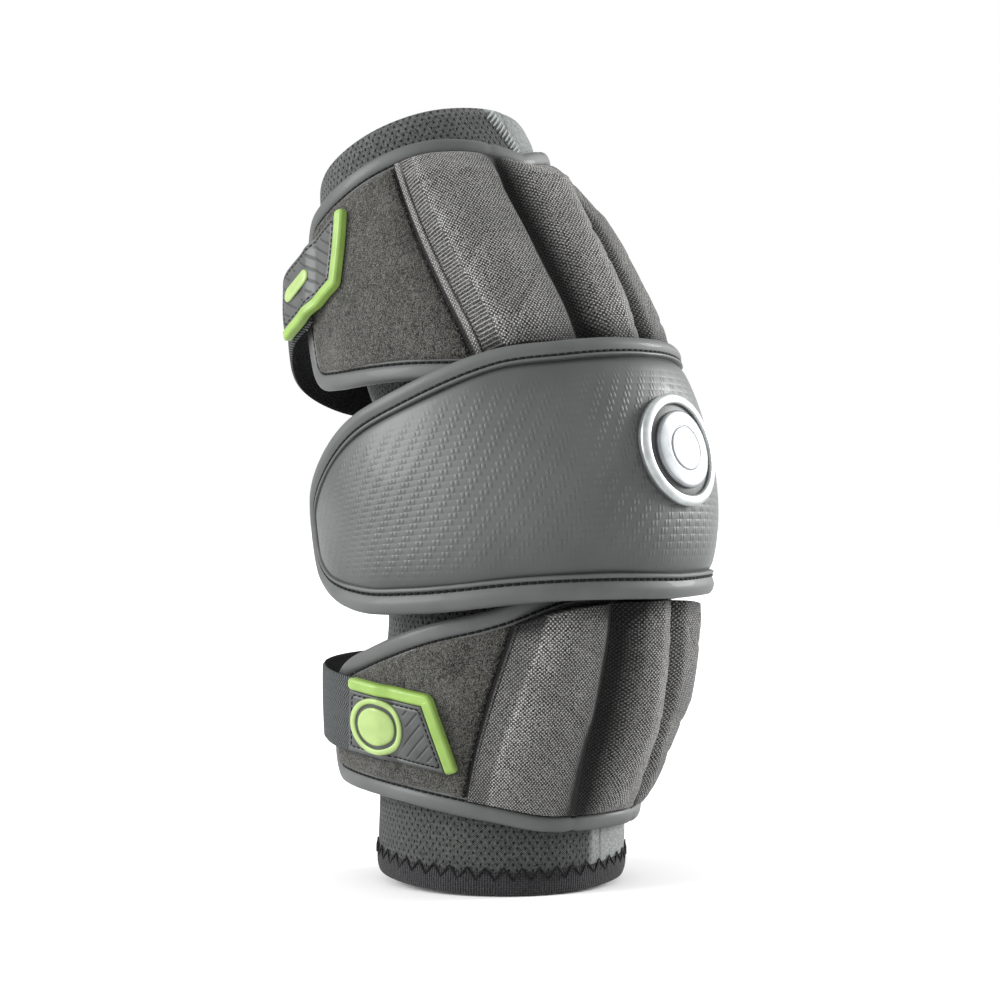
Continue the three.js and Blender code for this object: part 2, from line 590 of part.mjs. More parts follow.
// A tab lies over its strap's end and then comes down to the patch. A point of it runs along to its tip and across
// away from the elbow, both in millimetres from the corner where the strap enters.
function addTab(name, guard) {
  const { tab } = guard;
  const at = (along, across) => ({
    s: tab.s + tab.side * (along * Math.sin(tab.turn) + across * Math.cos(tab.turn)),
    angle: tab.angle - (along * Math.cos(tab.turn) - across * Math.sin(tab.turn)) / (GUARD_SPREAD * RAD),
  });
  const bedHeight = (angle) => {
    const overStrap = strapLift(guard, angle) + STRAP_WALL + 1.5 * LIE;
    const onPatch = LIE + LOOP_WALL + LIE;
    return lerp(onPatch, overStrap, smooth(angle, guard.strap[0].angle - TAB_STEP_DEG, guard.strap[0].angle - 1));
  };
  const lifted = (more) => (s, angle) => skin(grown(panelOuter(guard), bedHeight(angle) + more))(s, angle);

  // The slanted end's direction, and the line at a distance inside the slanted edge.
  const slope = Math.atan2(TAB_WIDTH - TAB_TIP, TAB_SLANT);
  const slantAt = (across, inside) => TAB_SHORT_SIDE + (across * Math.cos(slope) - inside) / Math.sin(slope);
  const inset = RAIL_WIDTH + 1.5 * LIE;
  const bend = slantAt(inset, inset);
  const last = slantAt(TAB_WIDTH, inset) - 1;
  const place = (u, v) => {
    const along = u < 0.7 ? (u / 0.7) * bend : lerp(bend, last, (u - 0.7) / 0.3);
    const edge = inset + Math.max(0, along - bend) * Math.tan(slope);
    return at(along, lerp(edge, TAB_WIDTH, v));
  };
  add(`${name}_tab`, "tab", wall(lifted(0), lifted(TAB_WALL), place, 10, evenly(2)));

  const middle = RAIL_WIDTH / 2;
  const corner = slantAt(middle, middle);
  const lastAcross = TAB_WIDTH - TAB_TIP / 2;
  const rail = [0, 0.22, 0.32, 0.42, 0.7, 0.95].map((share) => at(corner * share, middle));
  for (const share of [0.08, 0.5, 1]) {
    const across = lerp(middle, lastAcross, share);
    rail.push(at(slantAt(across, middle), across));
  }
  add(`${name}_tab_rail`, "lime", barOn(lifted(0), rail, RAIL_WIDTH, 0, RAIL_WALL, false, 4));

  // The coloured spot is a disc, or a bar with round ends.
  const [spotName, spot] = tab.side > 0 ? ["mark", MARK] : ["emblem", EMBLEM];
  const straight = spot.length - 2 * spot.radius;
  const spotAt = (right, up) => at(spot.along + right, spot.across + up);
  const low = TAB_WALL + 1.5 * LIE;
  const spotBody = discOn(spotAt, lifted(low), lifted(low + EMBLEM_WALL), spot.radius, straight, 9, 2);
  add(`${name}_tab_${spotName}`, "lime", spotBody);
}

addSleeve();
addCap();
addBadge();
for (const [name, guard] of Object.entries(guards)) {
  addGuard(name, guard);
  addStrap(name, guard);
  addTab(name, guard);
}

export default pad;
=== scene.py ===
# Visual model of the padded arm guard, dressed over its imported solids.
# Lengths are millimetres until a mesh is made. A place on the pad is given by s, the length along the arm's
# centre line from the elbow, positive upwards, and by an angle round the arm, 0 at the elbow's point and
# growing towards the closing side. The main sizes are those of the solids.

import math

import bpy
import numpy as np
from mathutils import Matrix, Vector


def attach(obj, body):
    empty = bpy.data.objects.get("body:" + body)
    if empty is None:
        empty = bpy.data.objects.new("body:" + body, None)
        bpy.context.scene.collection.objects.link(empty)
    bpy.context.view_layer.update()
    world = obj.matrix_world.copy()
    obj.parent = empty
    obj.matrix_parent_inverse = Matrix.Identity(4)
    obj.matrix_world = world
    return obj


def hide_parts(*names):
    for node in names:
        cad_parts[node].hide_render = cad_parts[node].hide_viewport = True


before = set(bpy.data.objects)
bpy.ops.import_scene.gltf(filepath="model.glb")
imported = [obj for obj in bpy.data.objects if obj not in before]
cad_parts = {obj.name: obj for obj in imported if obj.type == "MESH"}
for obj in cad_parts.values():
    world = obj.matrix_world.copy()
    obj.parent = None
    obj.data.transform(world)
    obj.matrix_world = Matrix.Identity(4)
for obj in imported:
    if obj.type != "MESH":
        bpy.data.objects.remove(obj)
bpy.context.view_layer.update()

# Arm line
BEND_DEG = 20.5
FOREARM_LEAN_DEG = 1.5
BEND_LENGTH = 100

# Sleeve
SLEEVE_UP = 137
SLEEVE_DOWN = 153.5
SLEEVE_RIM_TILT = 8
SLEEVE_RIM_TURN_DEG = 40
SLEEVE_TOP_RADIUS = 45
SLEEVE_HEM_RADIUS = 49
SLEEVE_WALL = 2
SLEEVE_WAIST = 3.5
HEM_TILT = 7
HEM_TILT_TURN_DEG = 55
ELBOW_BULGE = 12
ELBOW_REACH = 85
HEM_HEIGHT = 9
HEM_WALL = 3
SLEEVE_TUCK = 3  # length of sleeve inside the hem
PLAIN_STRIP_DEG = 47  # knit without holes beside the seam
SEAM_STITCHES = (121, 142.4, 1.55)  # first, end and step
ZIGZAGS = 44

LIE = 0.6  # clearance between pieces that lie on each other
STITCH_SINK = 0.15
RIPPLE_WAVES = 7

# Guards
PANEL_WALL = 3
GUARD_CORNER = 11
GUARD_FLARE = 16
GUARD_SPREAD = 66
BINDING_WIDTH = 8
BINDING_PROUD = 1.35
BINDING_STEP = 1.4
STITCH_STEP = 3.0
RIB_HEIGHT = 12.5
RIB_EDGE = 1.2
RIB_SEAM = 1.2
RIB_SIDE = 8.5  # width of a rib's steep side
LOOP_WALL = 1.2
FIBRES = 2400  # on each brushed patch
FIBRE_GIRTH = 0.08
ON_PATCH = LIE + LOOP_WALL + LIE  # height of what lies on a patch
# Seams on both sides of each rib: column of the guard's table, side of the arm, gap
RIB_SEAMS = (
    (("field", 1, 0.1), ("valley", 1, 0.1)),
    (("valley", 1, -0.1), ("valley", -1, -0.1)),
    (("valley", -1, 0.1), ("field", -1, 0.1)),
)

# Elbow cap
CAP_UP = 38.5
CAP_DOWN = 46
CAP_REACH = 90
CAP_DOME = 10.5
CAP_SIDE = 76.5
CAP_SIDE_DOME = 4
CAP_CROOK = 73
CAP_APEX = -9
CAP_WALL = 7
CAP_EDGE_WALL = 4
CAP_CORNER = 12
CAP_BINDING_WIDTH = 7.5
CAP_SEAT = 22
CAP_TUCK = 9
CAP_BINDING_PROUD = 1.6

# Badge
BADGE_HEIGHT = 1
BADGE_RADIUS = 21.8
BADGE_RIM = 4.2
BADGE_GROOVE = 3.2
BADGE_BASE = 1
BADGE_RAISE = 1.4

# Straps and tabs
STRAP_WIDTH = 30
STRAP_WALL = 1.6
STRAP_RISE_DEG = 14
STRAP_DOWN_DEG = 245
STRAP_SEWN_DEG = 255
TAB_WALL = 2.2
TAB_SHORT_SIDE = 35
TAB_SLANT = 12
TAB_WIDTH = 29
TAB_TIP = 6
TAB_STEP_DEG = 7
RAIL_WIDTH = 4.6
RAIL_WALL = 3.4
TAB_BORDER = 1.9  # from the edge to the stitches
GROOVE_PITCH = 3.9
GROOVE_WIDTH = 0.36
GROOVE_DEPTH = 0.35
BAR_STRETCH = 4.7

# Points of each grid, round the arm and along it
SLEEVE_GRID = (184, 84)
HEM_GRID = (216, 14)
PANEL_GRID = (150, 40)
RIB_GRID = (88, 104)
PATCH_GRID = (90, 70)
CAP_GRID = (220, 84)
STRAP_GRID = (190, 30)
TAB_GRID = (132, 76)

# Cloth patterns
CLOTH_GLOSS = 0.15
WEAVE_PITCH = 1.6
WEAVE_ROW = 1.45
KNIT_PITCH = 0.95
KNIT_ROW = 0.9
HOLE_PITCH = 3.0
HOLE_ROW = 2.1
HOLE_WIDTH = 0.44
HOLE_HEIGHT = 0.58
TWILL_CELL = 1.6
TWILL_ROW = 2.1
LANE_WIDTH = 2.2  # of the webbing's herringbone
LANE_STEP = 1.5

# Radii by which an angle becomes a length on the panels and on the sleeve
PANEL_TURN = 60
SLEEVE_TURN = 48

# Stage
FLOOR_LEVEL = -154.6
FLOOR_HALF = 9000.0
CAMERA_AZIMUTH_DEG = 40
CAMERA_DISTANCE = 0.95
CAMERA_HEIGHT = -0.004
CAMERA_LENS = 85.5
LIGHT_STRENGTH = 4.4
# Name, degrees to the right of the camera, degrees up, and spread in degrees
LIGHTS = (("left", -72, 22, 35), ("right_back", 112, 18, 25))

# Tables of the solids: edges and stand-off of each guard, seams between ribs, lines of the straps, and
# edges of the cap. Rows of three are for the three ribs. "hollow" says where painted shade darkens a rib's
# cloth.
UPPER = {
    "up": 1,
    "far": 132,
    "close": 27,
    "taper": (12, 0.8 * 12, 2.2 * 12),
    "taper_power": 0.6,
    "edges": {
        "angle": (0, 30, 52, 75, 102, 126),
        "far": (0.93, 0.98, 1.0, 0.99, 0.96, 0.93),
        "close": (1.0, 1.02, 1.15, 1.38, 1.67, 2.0),
    },
    "flare": {
        "along": (0.2, 0.35, 0.6, 0.8, 1.0),
        "outer": (0.87, 0.87, 0.5, 0.12, 0.0),
        "side": (0.87, 0.93, 0.68, 0.3, 0.0),
        "crook": (1.0, 1.1, 1.15, 0.7, 0.12),
    },
    "seams": {"along": (0.25, 1.0), "field": (50, 65), "valley": (13, 19)},
    "strap": {"angle": (114, 124, 160, 190, 262), "s": (93, 90.5, 79, 72, 74)},
    "strap_lift": 6,
    "strip": 3.9,  # width of the flat strip that an outer rib is sewn down by
    "slope": 7.5,  # width of an outer rib's slope, inside its strip
    "hollow": {"reach": (6, 6, 5.5), "all": 0.08, "slope": 0.42, "past_slope": 6, "stretched": 1},
    "tab": {"s": 76, "angle": 125, "side": 1, "turn": 0.26, "mark": (13.5, 17), "mark_reach": 6.5},
}
LOWER = {
    "up": -1,
    "far": 129,
    "close": 34,
    "taper": (38, 0.8 * 38, 38),
    "taper_power": 0.5,
    "edges": {
        "angle": (0, 30, 52, 78, 102, 120, 136),
        "far": (1.0, 1.0, 0.97, 0.94, 0.92, 0.91, 0.9),
        "close": (1.0, 1.06, 1.28, 1.51, 1.8, 2.05, 2.5),
    },
    "flare": {
        "along": (0.2, 0.4, 0.62, 0.8, 1.0),
        "outer": (0.75, 0.82, 0.55, 0.2, 0.0),
        "side": (0.78, 0.88, 0.72, 0.45, 0.15),
        "crook": (1.0, 1.05, 1.15, 1.2, 1.15),
    },
    "seams": {"along": (0.33, 0.62, 1.0), "field": (45, 54, 65), "valley": (13, 15, 19)},
    "strap": {"angle": (95, 104, 150, 190, 262), "s": (-89, -88, -85, -84, -87)},
    "strap_lift": 3.8,
    "strip": 1.4,
    "slope": 9.5,
    "hollow": {"reach": (6, 9, 2.5), "all": 0.12, "slope": 0.5, "past_slope": 20, "stretched": 0},
    "tab": {"s": -72, "angle": 104, "side": -1, "turn": 0.13, "mark": (13, 16.8), "mark_reach": 12},
}
CAP_EDGES = {
    "angle": (0, 30, 50, 77, 98, 118, 136),
    "up": (0.96, 0.975, 1.0, 0.88, 0.73, 0.4, 0.02),
    "down": (0.91, 0.9, 0.92, 0.99, 1.0, 0.88, 0.6),
}

RAD = math.pi / 180
BEND = BEND_DEG * RAD
MIDDLE_LEAN = BEND / 2 - FOREARM_LEAN_DEG * RAD


# Helpers for numbers

def lerp(a, b, t):
    return a + (b - a) * t


def smooth(x, start, end):
    t = np.clip((x - start) / (end - start), 0, 1)
    return t * t * (3 - 2 * t)


def hump(x, width):
    """1 where x is 0, falling away on both sides over a width."""
    return np.exp(-((x / width) ** 2))


def through(table, key, column, at):
    """Smooth curve through one column of a table, level beyond its ends."""
    x = np.array(table[key], float)
    y = np.array(table[column], float)
    slope = np.gradient(y, x)
    slope[1:-1] = (y[2:] - y[:-2]) / (x[2:] - x[:-2])
    at = np.clip(at, x[0], x[-1])
    i = np.clip(np.searchsorted(x, at, side="right") - 1, 0, len(x) - 2)
    step = x[i + 1] - x[i]
    t = (at - x[i]) / step
    bend = step * (t * (1 - t) ** 2 * slope[i] - t * t * (1 - t) * slope[i + 1])
    return y[i] + (y[i + 1] - y[i]) * t * t * (3 - 2 * t) + bend


def ripple(a, b, wavelength, seed):
    """Soft uneven waves between about -1 and 1 over two lengths."""
    rng = np.random.default_rng(seed)
    total = np.zeros(np.broadcast(a, b).shape)
    for _ in range(RIPPLE_WAVES):
        turn = rng.uniform(0, 2 * math.pi)
        k = 2 * math.pi / (wavelength * rng.uniform(0.7, 1.5))
        total = total + np.sin(k * (a * math.cos(turn) + b * math.sin(turn)) + rng.uniform(0, 2 * math.pi))
    return total / math.sqrt(RIPPLE_WAVES)


def creases(a, b, spans, turn_deg, count, seed, length, width):
    """Short furrows, 1 deep in their middle, strewn over the spans ((low, high) of a and of b)."""
    rng = np.random.default_rng(seed)
    total = np.zeros(np.broadcast(a, b).shape)
    for _ in range(count):
        middle_a = rng.uniform(*spans[0])
        middle_b = rng.uniform(*spans[1])
        turn = (turn_deg + rng.uniform(-22, 22)) * RAD
        along = (a - middle_a) * math.cos(turn) + (b - middle_b) * math.sin(turn)
        across = (b - middle_b) * math.cos(turn) - (a - middle_a) * math.sin(turn)
        reach = length * rng.uniform(0.5, 1.2)
        total = total - rng.uniform(0.4, 1) * np.exp(-((across / width) ** 2) - (along / reach) ** 2)
    return total


# Surfaces round the arm

def arm(s):
    """Place of the arm's centre line at s, and the angle that the arm leans there."""
    on_arc = np.clip(s, -BEND_LENGTH / 2, BEND_LENGTH / 2)
    lean = MIDDLE_LEAN + BEND * on_arc / BEND_LENGTH
    radius = BEND_LENGTH / BEND
    x = radius * (np.cos(lean) - math.cos(MIDDLE_LEAN)) - np.sin(lean) * (s - on_arc)
    z = radius * (np.sin(lean) - math.sin(MIDDLE_LEAN)) + np.cos(lean) * (s - on_arc)
    return x, z, lean


def skin(axes, s, angle, grow=0.0):
    """Points of a tube round the arm. axes(s) gives its half sizes at the elbow, inside it, and sideways."""
    outer, crook, side = axes(s)
    x, z, lean = arm(s)
    across = np.cos(angle * RAD)
    reach = across * (np.where(across > 0, outer, crook) + grow)
    y = -(side + grow) * np.sin(angle * RAD)
    return np.stack(np.broadcast_arrays(x + np.cos(lean) * reach, y, z + np.sin(lean) * reach), -1)


def end_radius(s):
    return lerp(SLEEVE_HEM_RADIUS, SLEEVE_TOP_RADIUS, smooth(s, -SLEEVE_DOWN, SLEEVE_UP))


def sleeve_axes(s):
    ease = np.cos(np.clip(s / ELBOW_REACH, -1, 1) * math.pi / 2) ** 2
    radius = end_radius(s) - SLEEVE_WAIST * ease
    return radius + ELBOW_BULGE * ease, radius, radius


def panel_axes(guard):
    def axes(s):
        along = guard["up"] * s / guard["far"]
        outer, crook, side = (
            end_radius(s) + LIE + PANEL_WALL + GUARD_FLARE * through(guard["flare"], "along", column, along)
            for column in ("outer", "crook", "side")
        )
        return np.maximum(outer, sleeve_axes(s)[0] + LIE + PANEL_WALL), crook, side

    return axes


def panel_inner_axes(guard):
    def axes(s):
        _, crook, side = panel_axes(guard)(s)
        return sleeve_axes(s)[0] + LIE, crook - PANEL_WALL, side - PANEL_WALL

    return axes


def dome(s):
    """How far the cap has fallen away from its highest point, 0 to 1 at its edges."""
    reach = np.where(s > CAP_APEX, CAP_UP - CAP_APEX, CAP_DOWN + CAP_APEX)
    return np.clip(np.abs(s - CAP_APEX) / reach, 0, 1) ** 2


def cap_axes(s):
    fall = dome(s)
    return CAP_REACH - CAP_DOME * fall, CAP_CROOK - CAP_SIDE_DOME * fall, CAP_SIDE - CAP_SIDE_DOME * fall


def cap_inner_axes(s):
    outer, crook, side = cap_axes(s)
    wall = lerp(CAP_WALL, CAP_EDGE_WALL, dome(s))
    opening = smooth(np.abs(s), CAP_SEAT, CAP_SEAT + CAP_TUCK)
    return lerp(sleeve_axes(s)[0] + LIE, outer - wall, opening), crook - wall, side - wall


# Meshes

def make_mesh(name, points, faces, material, uv=None, face_slots=None, attributes=None):
    """A mesh object from points in millimetres and faces of four corners each."""
    mesh = bpy.data.meshes.new(name)
    mesh.vertices.add(len(points))
    mesh.vertices.foreach_set("co", np.ascontiguousarray(points * 0.001, dtype=np.float32).ravel())
    mesh.loops.add(faces.size)
    mesh.loops.foreach_set("vertex_index", faces.ravel().astype(np.int32))
    mesh.polygons.add(len(faces))
    mesh.polygons.foreach_set("loop_start", np.arange(0, faces.size, 4, dtype=np.int32))
    mesh.polygons.foreach_set("use_smooth", np.ones(len(faces), dtype=bool))
    if uv is not None:
        layer = mesh.uv_layers.new(name="UVMap")
        layer.data.foreach_set("uv", uv[faces.ravel()].astype(np.float32).ravel())
    for key, values in (attributes or {}).items():
        attribute = mesh.attributes.new(key, "FLOAT", "POINT")
        attribute.data.foreach_set("value", values.astype(np.float32).ravel())
    materials = material if isinstance(material, (list, tuple)) else [material]
    for entry in materials:
        mesh.materials.append(entry)
    if face_slots is not None:
        mesh.polygons.foreach_set("material_index", face_slots.astype(np.int32))
    mesh.update(calc_edges=True)
    corners = points[faces]
    volume = np.einsum("ij,ij->", corners[:, 0], np.cross(corners[:, 1], corners[:, 2]))
    volume += np.einsum("ij,ij->", corners[:, 0], np.cross(corners[:, 2], corners[:, 3]))
    if volume < 0:
        mesh.flip_normals()
    piece = bpy.data.objects.new(name, mesh)
    bpy.context.scene.collection.objects.link(piece)
    return piece


def loop_faces(loops, count, ring):
    """Faces between closed loops of points. Open ends are closed by joining opposite points."""
    last = loops if ring else loops - 1
    i, k = np.meshgrid(np.arange(last), np.arange(count), indexing="ij")
    here = i * count
    there = ((i + 1) % loops) * count
    after = (k + 1) % count
    faces = np.stack([here + k, there + k, there + after, here + after], -1).reshape(-1, 4)
    if ring:
        return faces
    k = np.arange(count // 2 - 1)
    end = (loops - 1) * count
    first_cap = np.stack([k, k + 1, count - 2 - k, count - 1 - k], -1)
    last_cap = np.stack([end + k, end + count - 1 - k, end + count - 2 - k, end + k + 1], -1)
    return np.concatenate([faces, first_cap, last_cap])


def shell(name, inner, outer, uv, material, ring=False, attributes=None):
    """A wall between two grids of points, columns by rows. A second material goes on its inside."""
    columns, rows = inner.shape[:2]
    points = np.concatenate([inner, outer[:, ::-1]], 1).reshape(-1, 3)
    uvs = np.concatenate([uv, uv[:, ::-1]], 1).reshape(-1, 2)
    faces = loop_faces(columns, 2 * rows, ring)
    slots = None
    if isinstance(material, (list, tuple)):
        slots = ((faces % (2 * rows)) < rows).all(1).astype(int)
    extra = {key: np.concatenate([v, v[:, ::-1]], 1) for key, v in (attributes or {}).items()}
    return make_mesh(name, points, faces, material, uvs, slots, extra)


def frames_on(axes, s, angle, ring, grow=0.0):
    """Points on a skin, with the directions along the way, out of the skin, and across it."""
    points = skin(axes, s, angle, grow)
    if ring:
        along = np.roll(points, -1, 0) - np.roll(points, 1, 0)
    else:
        along = np.gradient(points, axis=0)
    rise = skin(axes, s + 0.5, angle, grow) - skin(axes, s - 0.5, angle, grow)
    turn = skin(axes, s, angle + 0.5, grow) - skin(axes, s, angle - 0.5, grow)
    out = np.cross(rise, turn)
    arm_x, arm_z, _ = arm(s)
    away = points - np.stack([arm_x, np.zeros_like(arm_x), arm_z], -1)
    out *= np.sign(np.einsum("ij,ij->i", out, away))[:, None]
    out /= np.linalg.norm(out, axis=1, keepdims=True)
    along /= np.linalg.norm(along, axis=1, keepdims=True)
    across = np.cross(along, out)
    across /= np.linalg.norm(across, axis=1, keepdims=True)
    return points, along, out, across


def length_along(points, ring):
    """Length from the first point to each one, and back to the first in a ring."""
    ends = np.concatenate([points, points[:1]]) if ring else points
    return np.concatenate([[0], np.cumsum(np.linalg.norm(np.diff(ends, axis=0), axis=1))])


def sweep(name, placed, profile, material, ring, swell=None):
    """A bar along frames. profile is a closed list of (across, out), and swell scales it at each frame."""
    points, _, out, across = placed
    profile = np.array(profile, float)
    scale = np.ones(len(points)) if swell is None else swell
    side = profile[None, :, 0] * scale[:, None]
    height = profile[None, :, 1] * scale[:, None]
    rings = points[:, None] + across[:, None] * side[..., None] + out[:, None] * height[..., None]
    run = length_along(points, ring)[: len(points)]
    around = np.concatenate([[0], np.cumsum(np.linalg.norm(np.diff(profile, axis=0), axis=1))])
    uv = np.stack(np.meshgrid(run, around, indexing="ij"), -1)
    faces = loop_faces(len(points), len(profile), ring)
    return make_mesh(name, rings.reshape(-1, 3), faces, material, uv.reshape(-1, 2))


def rounded(profile):
    """The closed smooth curve through a few points of a profile."""
    p = np.array(profile, float)
    before, after, later = np.roll(p, 1, 0), np.roll(p, -1, 0), np.roll(p, -2, 0)
    result = []
    for t in np.arange(3) / 3:
        result.append(
            0.5 * (2 * p + (after - before) * t + (2 * before - 5 * p + 4 * after - later) * t * t
                   + (3 * p - before - 3 * after + later) * t ** 3)
        )
    return np.stack(result, 1).reshape(-1, 2)


def strewn(name, rings, count, material):
    """Many small closed bars as one mesh. rings holds their points in order, count of them to a ring."""
    points = np.stack(rings, 1)
    bars = len(points)
    points = points.reshape(-1, 3)
    loops = len(points) // bars // count
    faces = np.arange(bars)[:, None, None] * (loops * count) + loop_faces(loops, count, False)[None]
    return make_mesh(name, points, faces.reshape(-1, 4), material, points[:, [0, 2]])


def threads(name, placed, material, length, width, height=0.5):
    """Short stitches, one at each frame."""
    points, along, out, across = placed
    turn = np.arange(6) * math.pi / 3
    circle = np.stack([np.cos(turn), np.sin(turn)], -1)
    rings = []
    for reach, girth in ((-0.5, 0.45), (-0.36, 1), (0.36, 1), (0.5, 0.45)):
        lift = height * (girth - 0.5) * 0.5 - STITCH_SINK
        rings.append(
            points[:, None]
            + along[:, None] * (reach * length)
            + across[:, None] * (circle[None, :, :1] * width / 2 * girth)
            + out[:, None] * (circle[None, :, 1:] * height / 2 * girth + lift)
        )
    return strewn(name, rings, 6, material)


# Outlines of wrapped shells

def edge_lines(shape, angle, cut):
    """Lower and upper s of a shell at an angle, once it is cut in by a length on all sides."""
    low = shape["low"](np.abs(angle)) + cut
    high = shape["high"](np.abs(angle)) - cut
    corner = max(shape["corner"] - cut, 0.5)
    middle = (low + high) / 2
    radius = shape["radius"](middle)
    wrap = shape["wrap"] - cut / (radius * RAD)
    past = np.clip(corner - (wrap - np.abs(angle)) * RAD * radius, 0, corner)
    round_off = corner - np.sqrt(np.maximum(corner ** 2 - past ** 2, 0))
    return np.minimum(low + round_off, middle), np.maximum(high - round_off, middle)


def wrap_inside(shape, cut):
    """Angle that a shell reaches round the arm, once it is cut in by a length."""
    tip = np.array(shape["wrap"])
    tip_s = (shape["low"](tip) + shape["high"](tip)) / 2
    return shape["wrap"] - cut / (shape["radius"](tip_s) * RAD)


def shell_place(shape, cut, columns, rows):
    """Grids of s and angle that fill a shell, with finer steps at its edges."""
    wrap = wrap_inside(shape, cut)
    u = np.linspace(-1, 1, columns)
    angle = wrap * np.sign(u) * (1 - (1 - np.abs(u)) ** 1.12)
    low, high = edge_lines(shape, angle, cut)
    v = 0.5 - 0.5 * np.cos(np.linspace(0, 1, rows) * math.pi)
    v = 0.5 * v + 0.5 * np.linspace(0, 1, rows)
    return lerp(low[:, None], high[:, None], v[None]), np.repeat(angle[:, None], rows, 1), v


def outline(shape, cut, axes, step):
    """Places along a shell's outline, an even step apart, and starting on its lower edge."""
    wrap = wrap_inside(shape, cut)
    t = np.linspace(-1, 1, 600)
    angle = wrap * np.sin(t * math.pi / 2)
    low, high = edge_lines(shape, angle, cut)
    ends = np.linspace(low[-1], high[-1], 60)[1:-1]
    s = np.concatenate([low, ends, high[::-1], ends[::-1]])
    angle = np.concatenate([angle, np.full(58, wrap), angle[::-1], np.full(58, -wrap)])
    run = length_along(skin(axes, s, angle), True)
    count = int(run[-1] / step)
    at = np.arange(count) * run[-1] / count
    return np.interp(at, run, np.append(s, s[0])), np.interp(at, run, np.append(angle, angle[0]))


def guard_shape(guard):
    """Edges, corners and reach of a guard's panel, as functions of the angle."""
    def far(angle):
        return guard["up"] * guard["far"] * through(guard["edges"], "angle", "far", angle)

    def close(angle):
        return guard["up"] * guard["close"] * through(guard["edges"], "angle", "close", angle)

    low, high = (close, far) if guard["up"] > 0 else (far, close)
    return {
        "low": low,
        "high": high,
        "far": far,
        "close": close,
        "corner": GUARD_CORNER,
        "wrap": guard["edges"]["angle"][-1],
        "radius": lambda s: panel_axes(guard)(s)[2],
    }


CAP_SHAPE = {
    "low": lambda angle: -CAP_DOWN * through(CAP_EDGES, "angle", "down", angle),
    "high": lambda angle: CAP_UP * through(CAP_EDGES, "angle", "up", angle),
    "corner": CAP_CORNER,
    "wrap": CAP_EDGES["angle"][-1],
    "radius": lambda s: CAP_SIDE + 0 * s,
}


# Materials

class Look:
    """A material and short names for its nodes. Lengths in patterns are millimetres."""

    def __init__(self, name, roughness, metallic=0.0, sheen=0.0, coat=0.0, gloss=0.5):
        self.material = bpy.data.materials.new(name)
        self.material.use_nodes = True
        self.tree = self.material.node_tree
        self.shader = self.tree.nodes["Principled BSDF"]
        for key, value in (
            ("Roughness", roughness),
            ("Metallic", metallic),
            ("Sheen Weight", sheen),
            ("Coat Weight", coat),
            ("Specular IOR Level", gloss),
        ):
            self.shader.inputs[key].default_value = value

    def node(self, kind, **settings):
        made = self.tree.nodes.new(kind)
        for key, value in settings.items():
            setattr(made, key, value)
        return made

    def link(self, source, target):
        if hasattr(source, "is_output"):
            self.tree.links.new(source, target)
        else:
            target.default_value = source

    def math(self, operation, a, b=0.0, c=0.0, clamp=False):
        made = self.node("ShaderNodeMath", operation=operation, use_clamp=clamp)
        for value, socket in zip((a, b, c), made.inputs):
            self.link(value, socket)
        return made.outputs[0]

    def plus(self, a, b):
        return self.math("ADD", a, b)

    def minus(self, a, b):
        return self.math("SUBTRACT", a, b)

    def times(self, a, b):
        return self.math("MULTIPLY", a, b)

    def fit(self, value, scale, shift, clamp=False):
        """A value times a scale, plus a shift."""
        return self.math("MULTIPLY_ADD", value, scale, shift, clamp)

    def square(self, value, length):
        return self.math("POWER", self.math("DIVIDE", value, length), 2.0)

    def number(self, value, pitch):
        """Number of the cell that a length falls in."""
        return self.math("FLOOR", self.math("DIVIDE", value, pitch))

    def inside(self, value, pitch):
        """Place of a length in its cell, from the cell's middle."""
        return self.minus(self.math("WRAP", value, pitch, 0.0), pitch / 2)

    def attribute(self, name):
        return self.node("ShaderNodeAttribute", attribute_name=name).outputs["Fac"]

    def uv(self):
        split = self.node("ShaderNodeSeparateXYZ")
        self.tree.links.new(self.node("ShaderNodeUVMap").outputs[0], split.inputs[0])
        return split.outputs[0], split.outputs[1]

    def noise(self, scale, detail):
        """Soft noise on object coordinates, its grain a length."""
        coordinates = self.node("ShaderNodeTexCoord").outputs["Object"]
        mapping = self.node("ShaderNodeMapping")
        self.tree.links.new(coordinates, mapping.inputs["Vector"])
        mapping.inputs["Scale"].default_value = (1000 / scale,) * 3
        made = self.node("ShaderNodeTexNoise")
        self.tree.links.new(mapping.outputs[0], made.inputs["Vector"])
        made.inputs["Scale"].default_value = 1
        made.inputs["Detail"].default_value = detail
        return made.outputs[0]

    def wave(self, value, length):
        """Sine of a length, -1 to 1."""
        return self.math("SINE", self.times(value, 2 * math.pi / length))

    def span(self, value, low, high, to_low=0.0, to_high=1.0):
        made = self.node("ShaderNodeMapRange")
        made.interpolation_type = "SMOOTHSTEP"
        for entry, socket in zip((value, low, high, to_low, to_high), made.inputs):
            self.link(entry, socket)
        return made.outputs[0]

    def colour(self, amount, dark, light):
        made = self.node("ShaderNodeMix", data_type="RGBA")
        self.link(amount, made.inputs[0])
        self.link((*dark, 1) if isinstance(dark, tuple) else dark, made.inputs[6])
        self.link((*light, 1) if isinstance(light, tuple) else light, made.inputs[7])
        return made.outputs[2]

    def shaded(self, colour, hollow):
        """A colour, and a darker colour painted as shade where the mesh's deep attribute marks it."""
        return self.colour(self.attribute("deep"), colour, hollow)

    def paint(self, colour):
        self.link(colour, self.shader.inputs["Base Color"])

    def bump(self, height, depth):
        """Raises the surface by depth millimetres where height is 1."""
        made = self.node("ShaderNodeBump")
        made.inputs["Strength"].default_value = 1
        made.inputs["Distance"].default_value = depth * 0.001
        self.tree.links.new(height, made.inputs["Height"])
        self.tree.links.new(made.outputs[0], self.shader.inputs["Normal"])


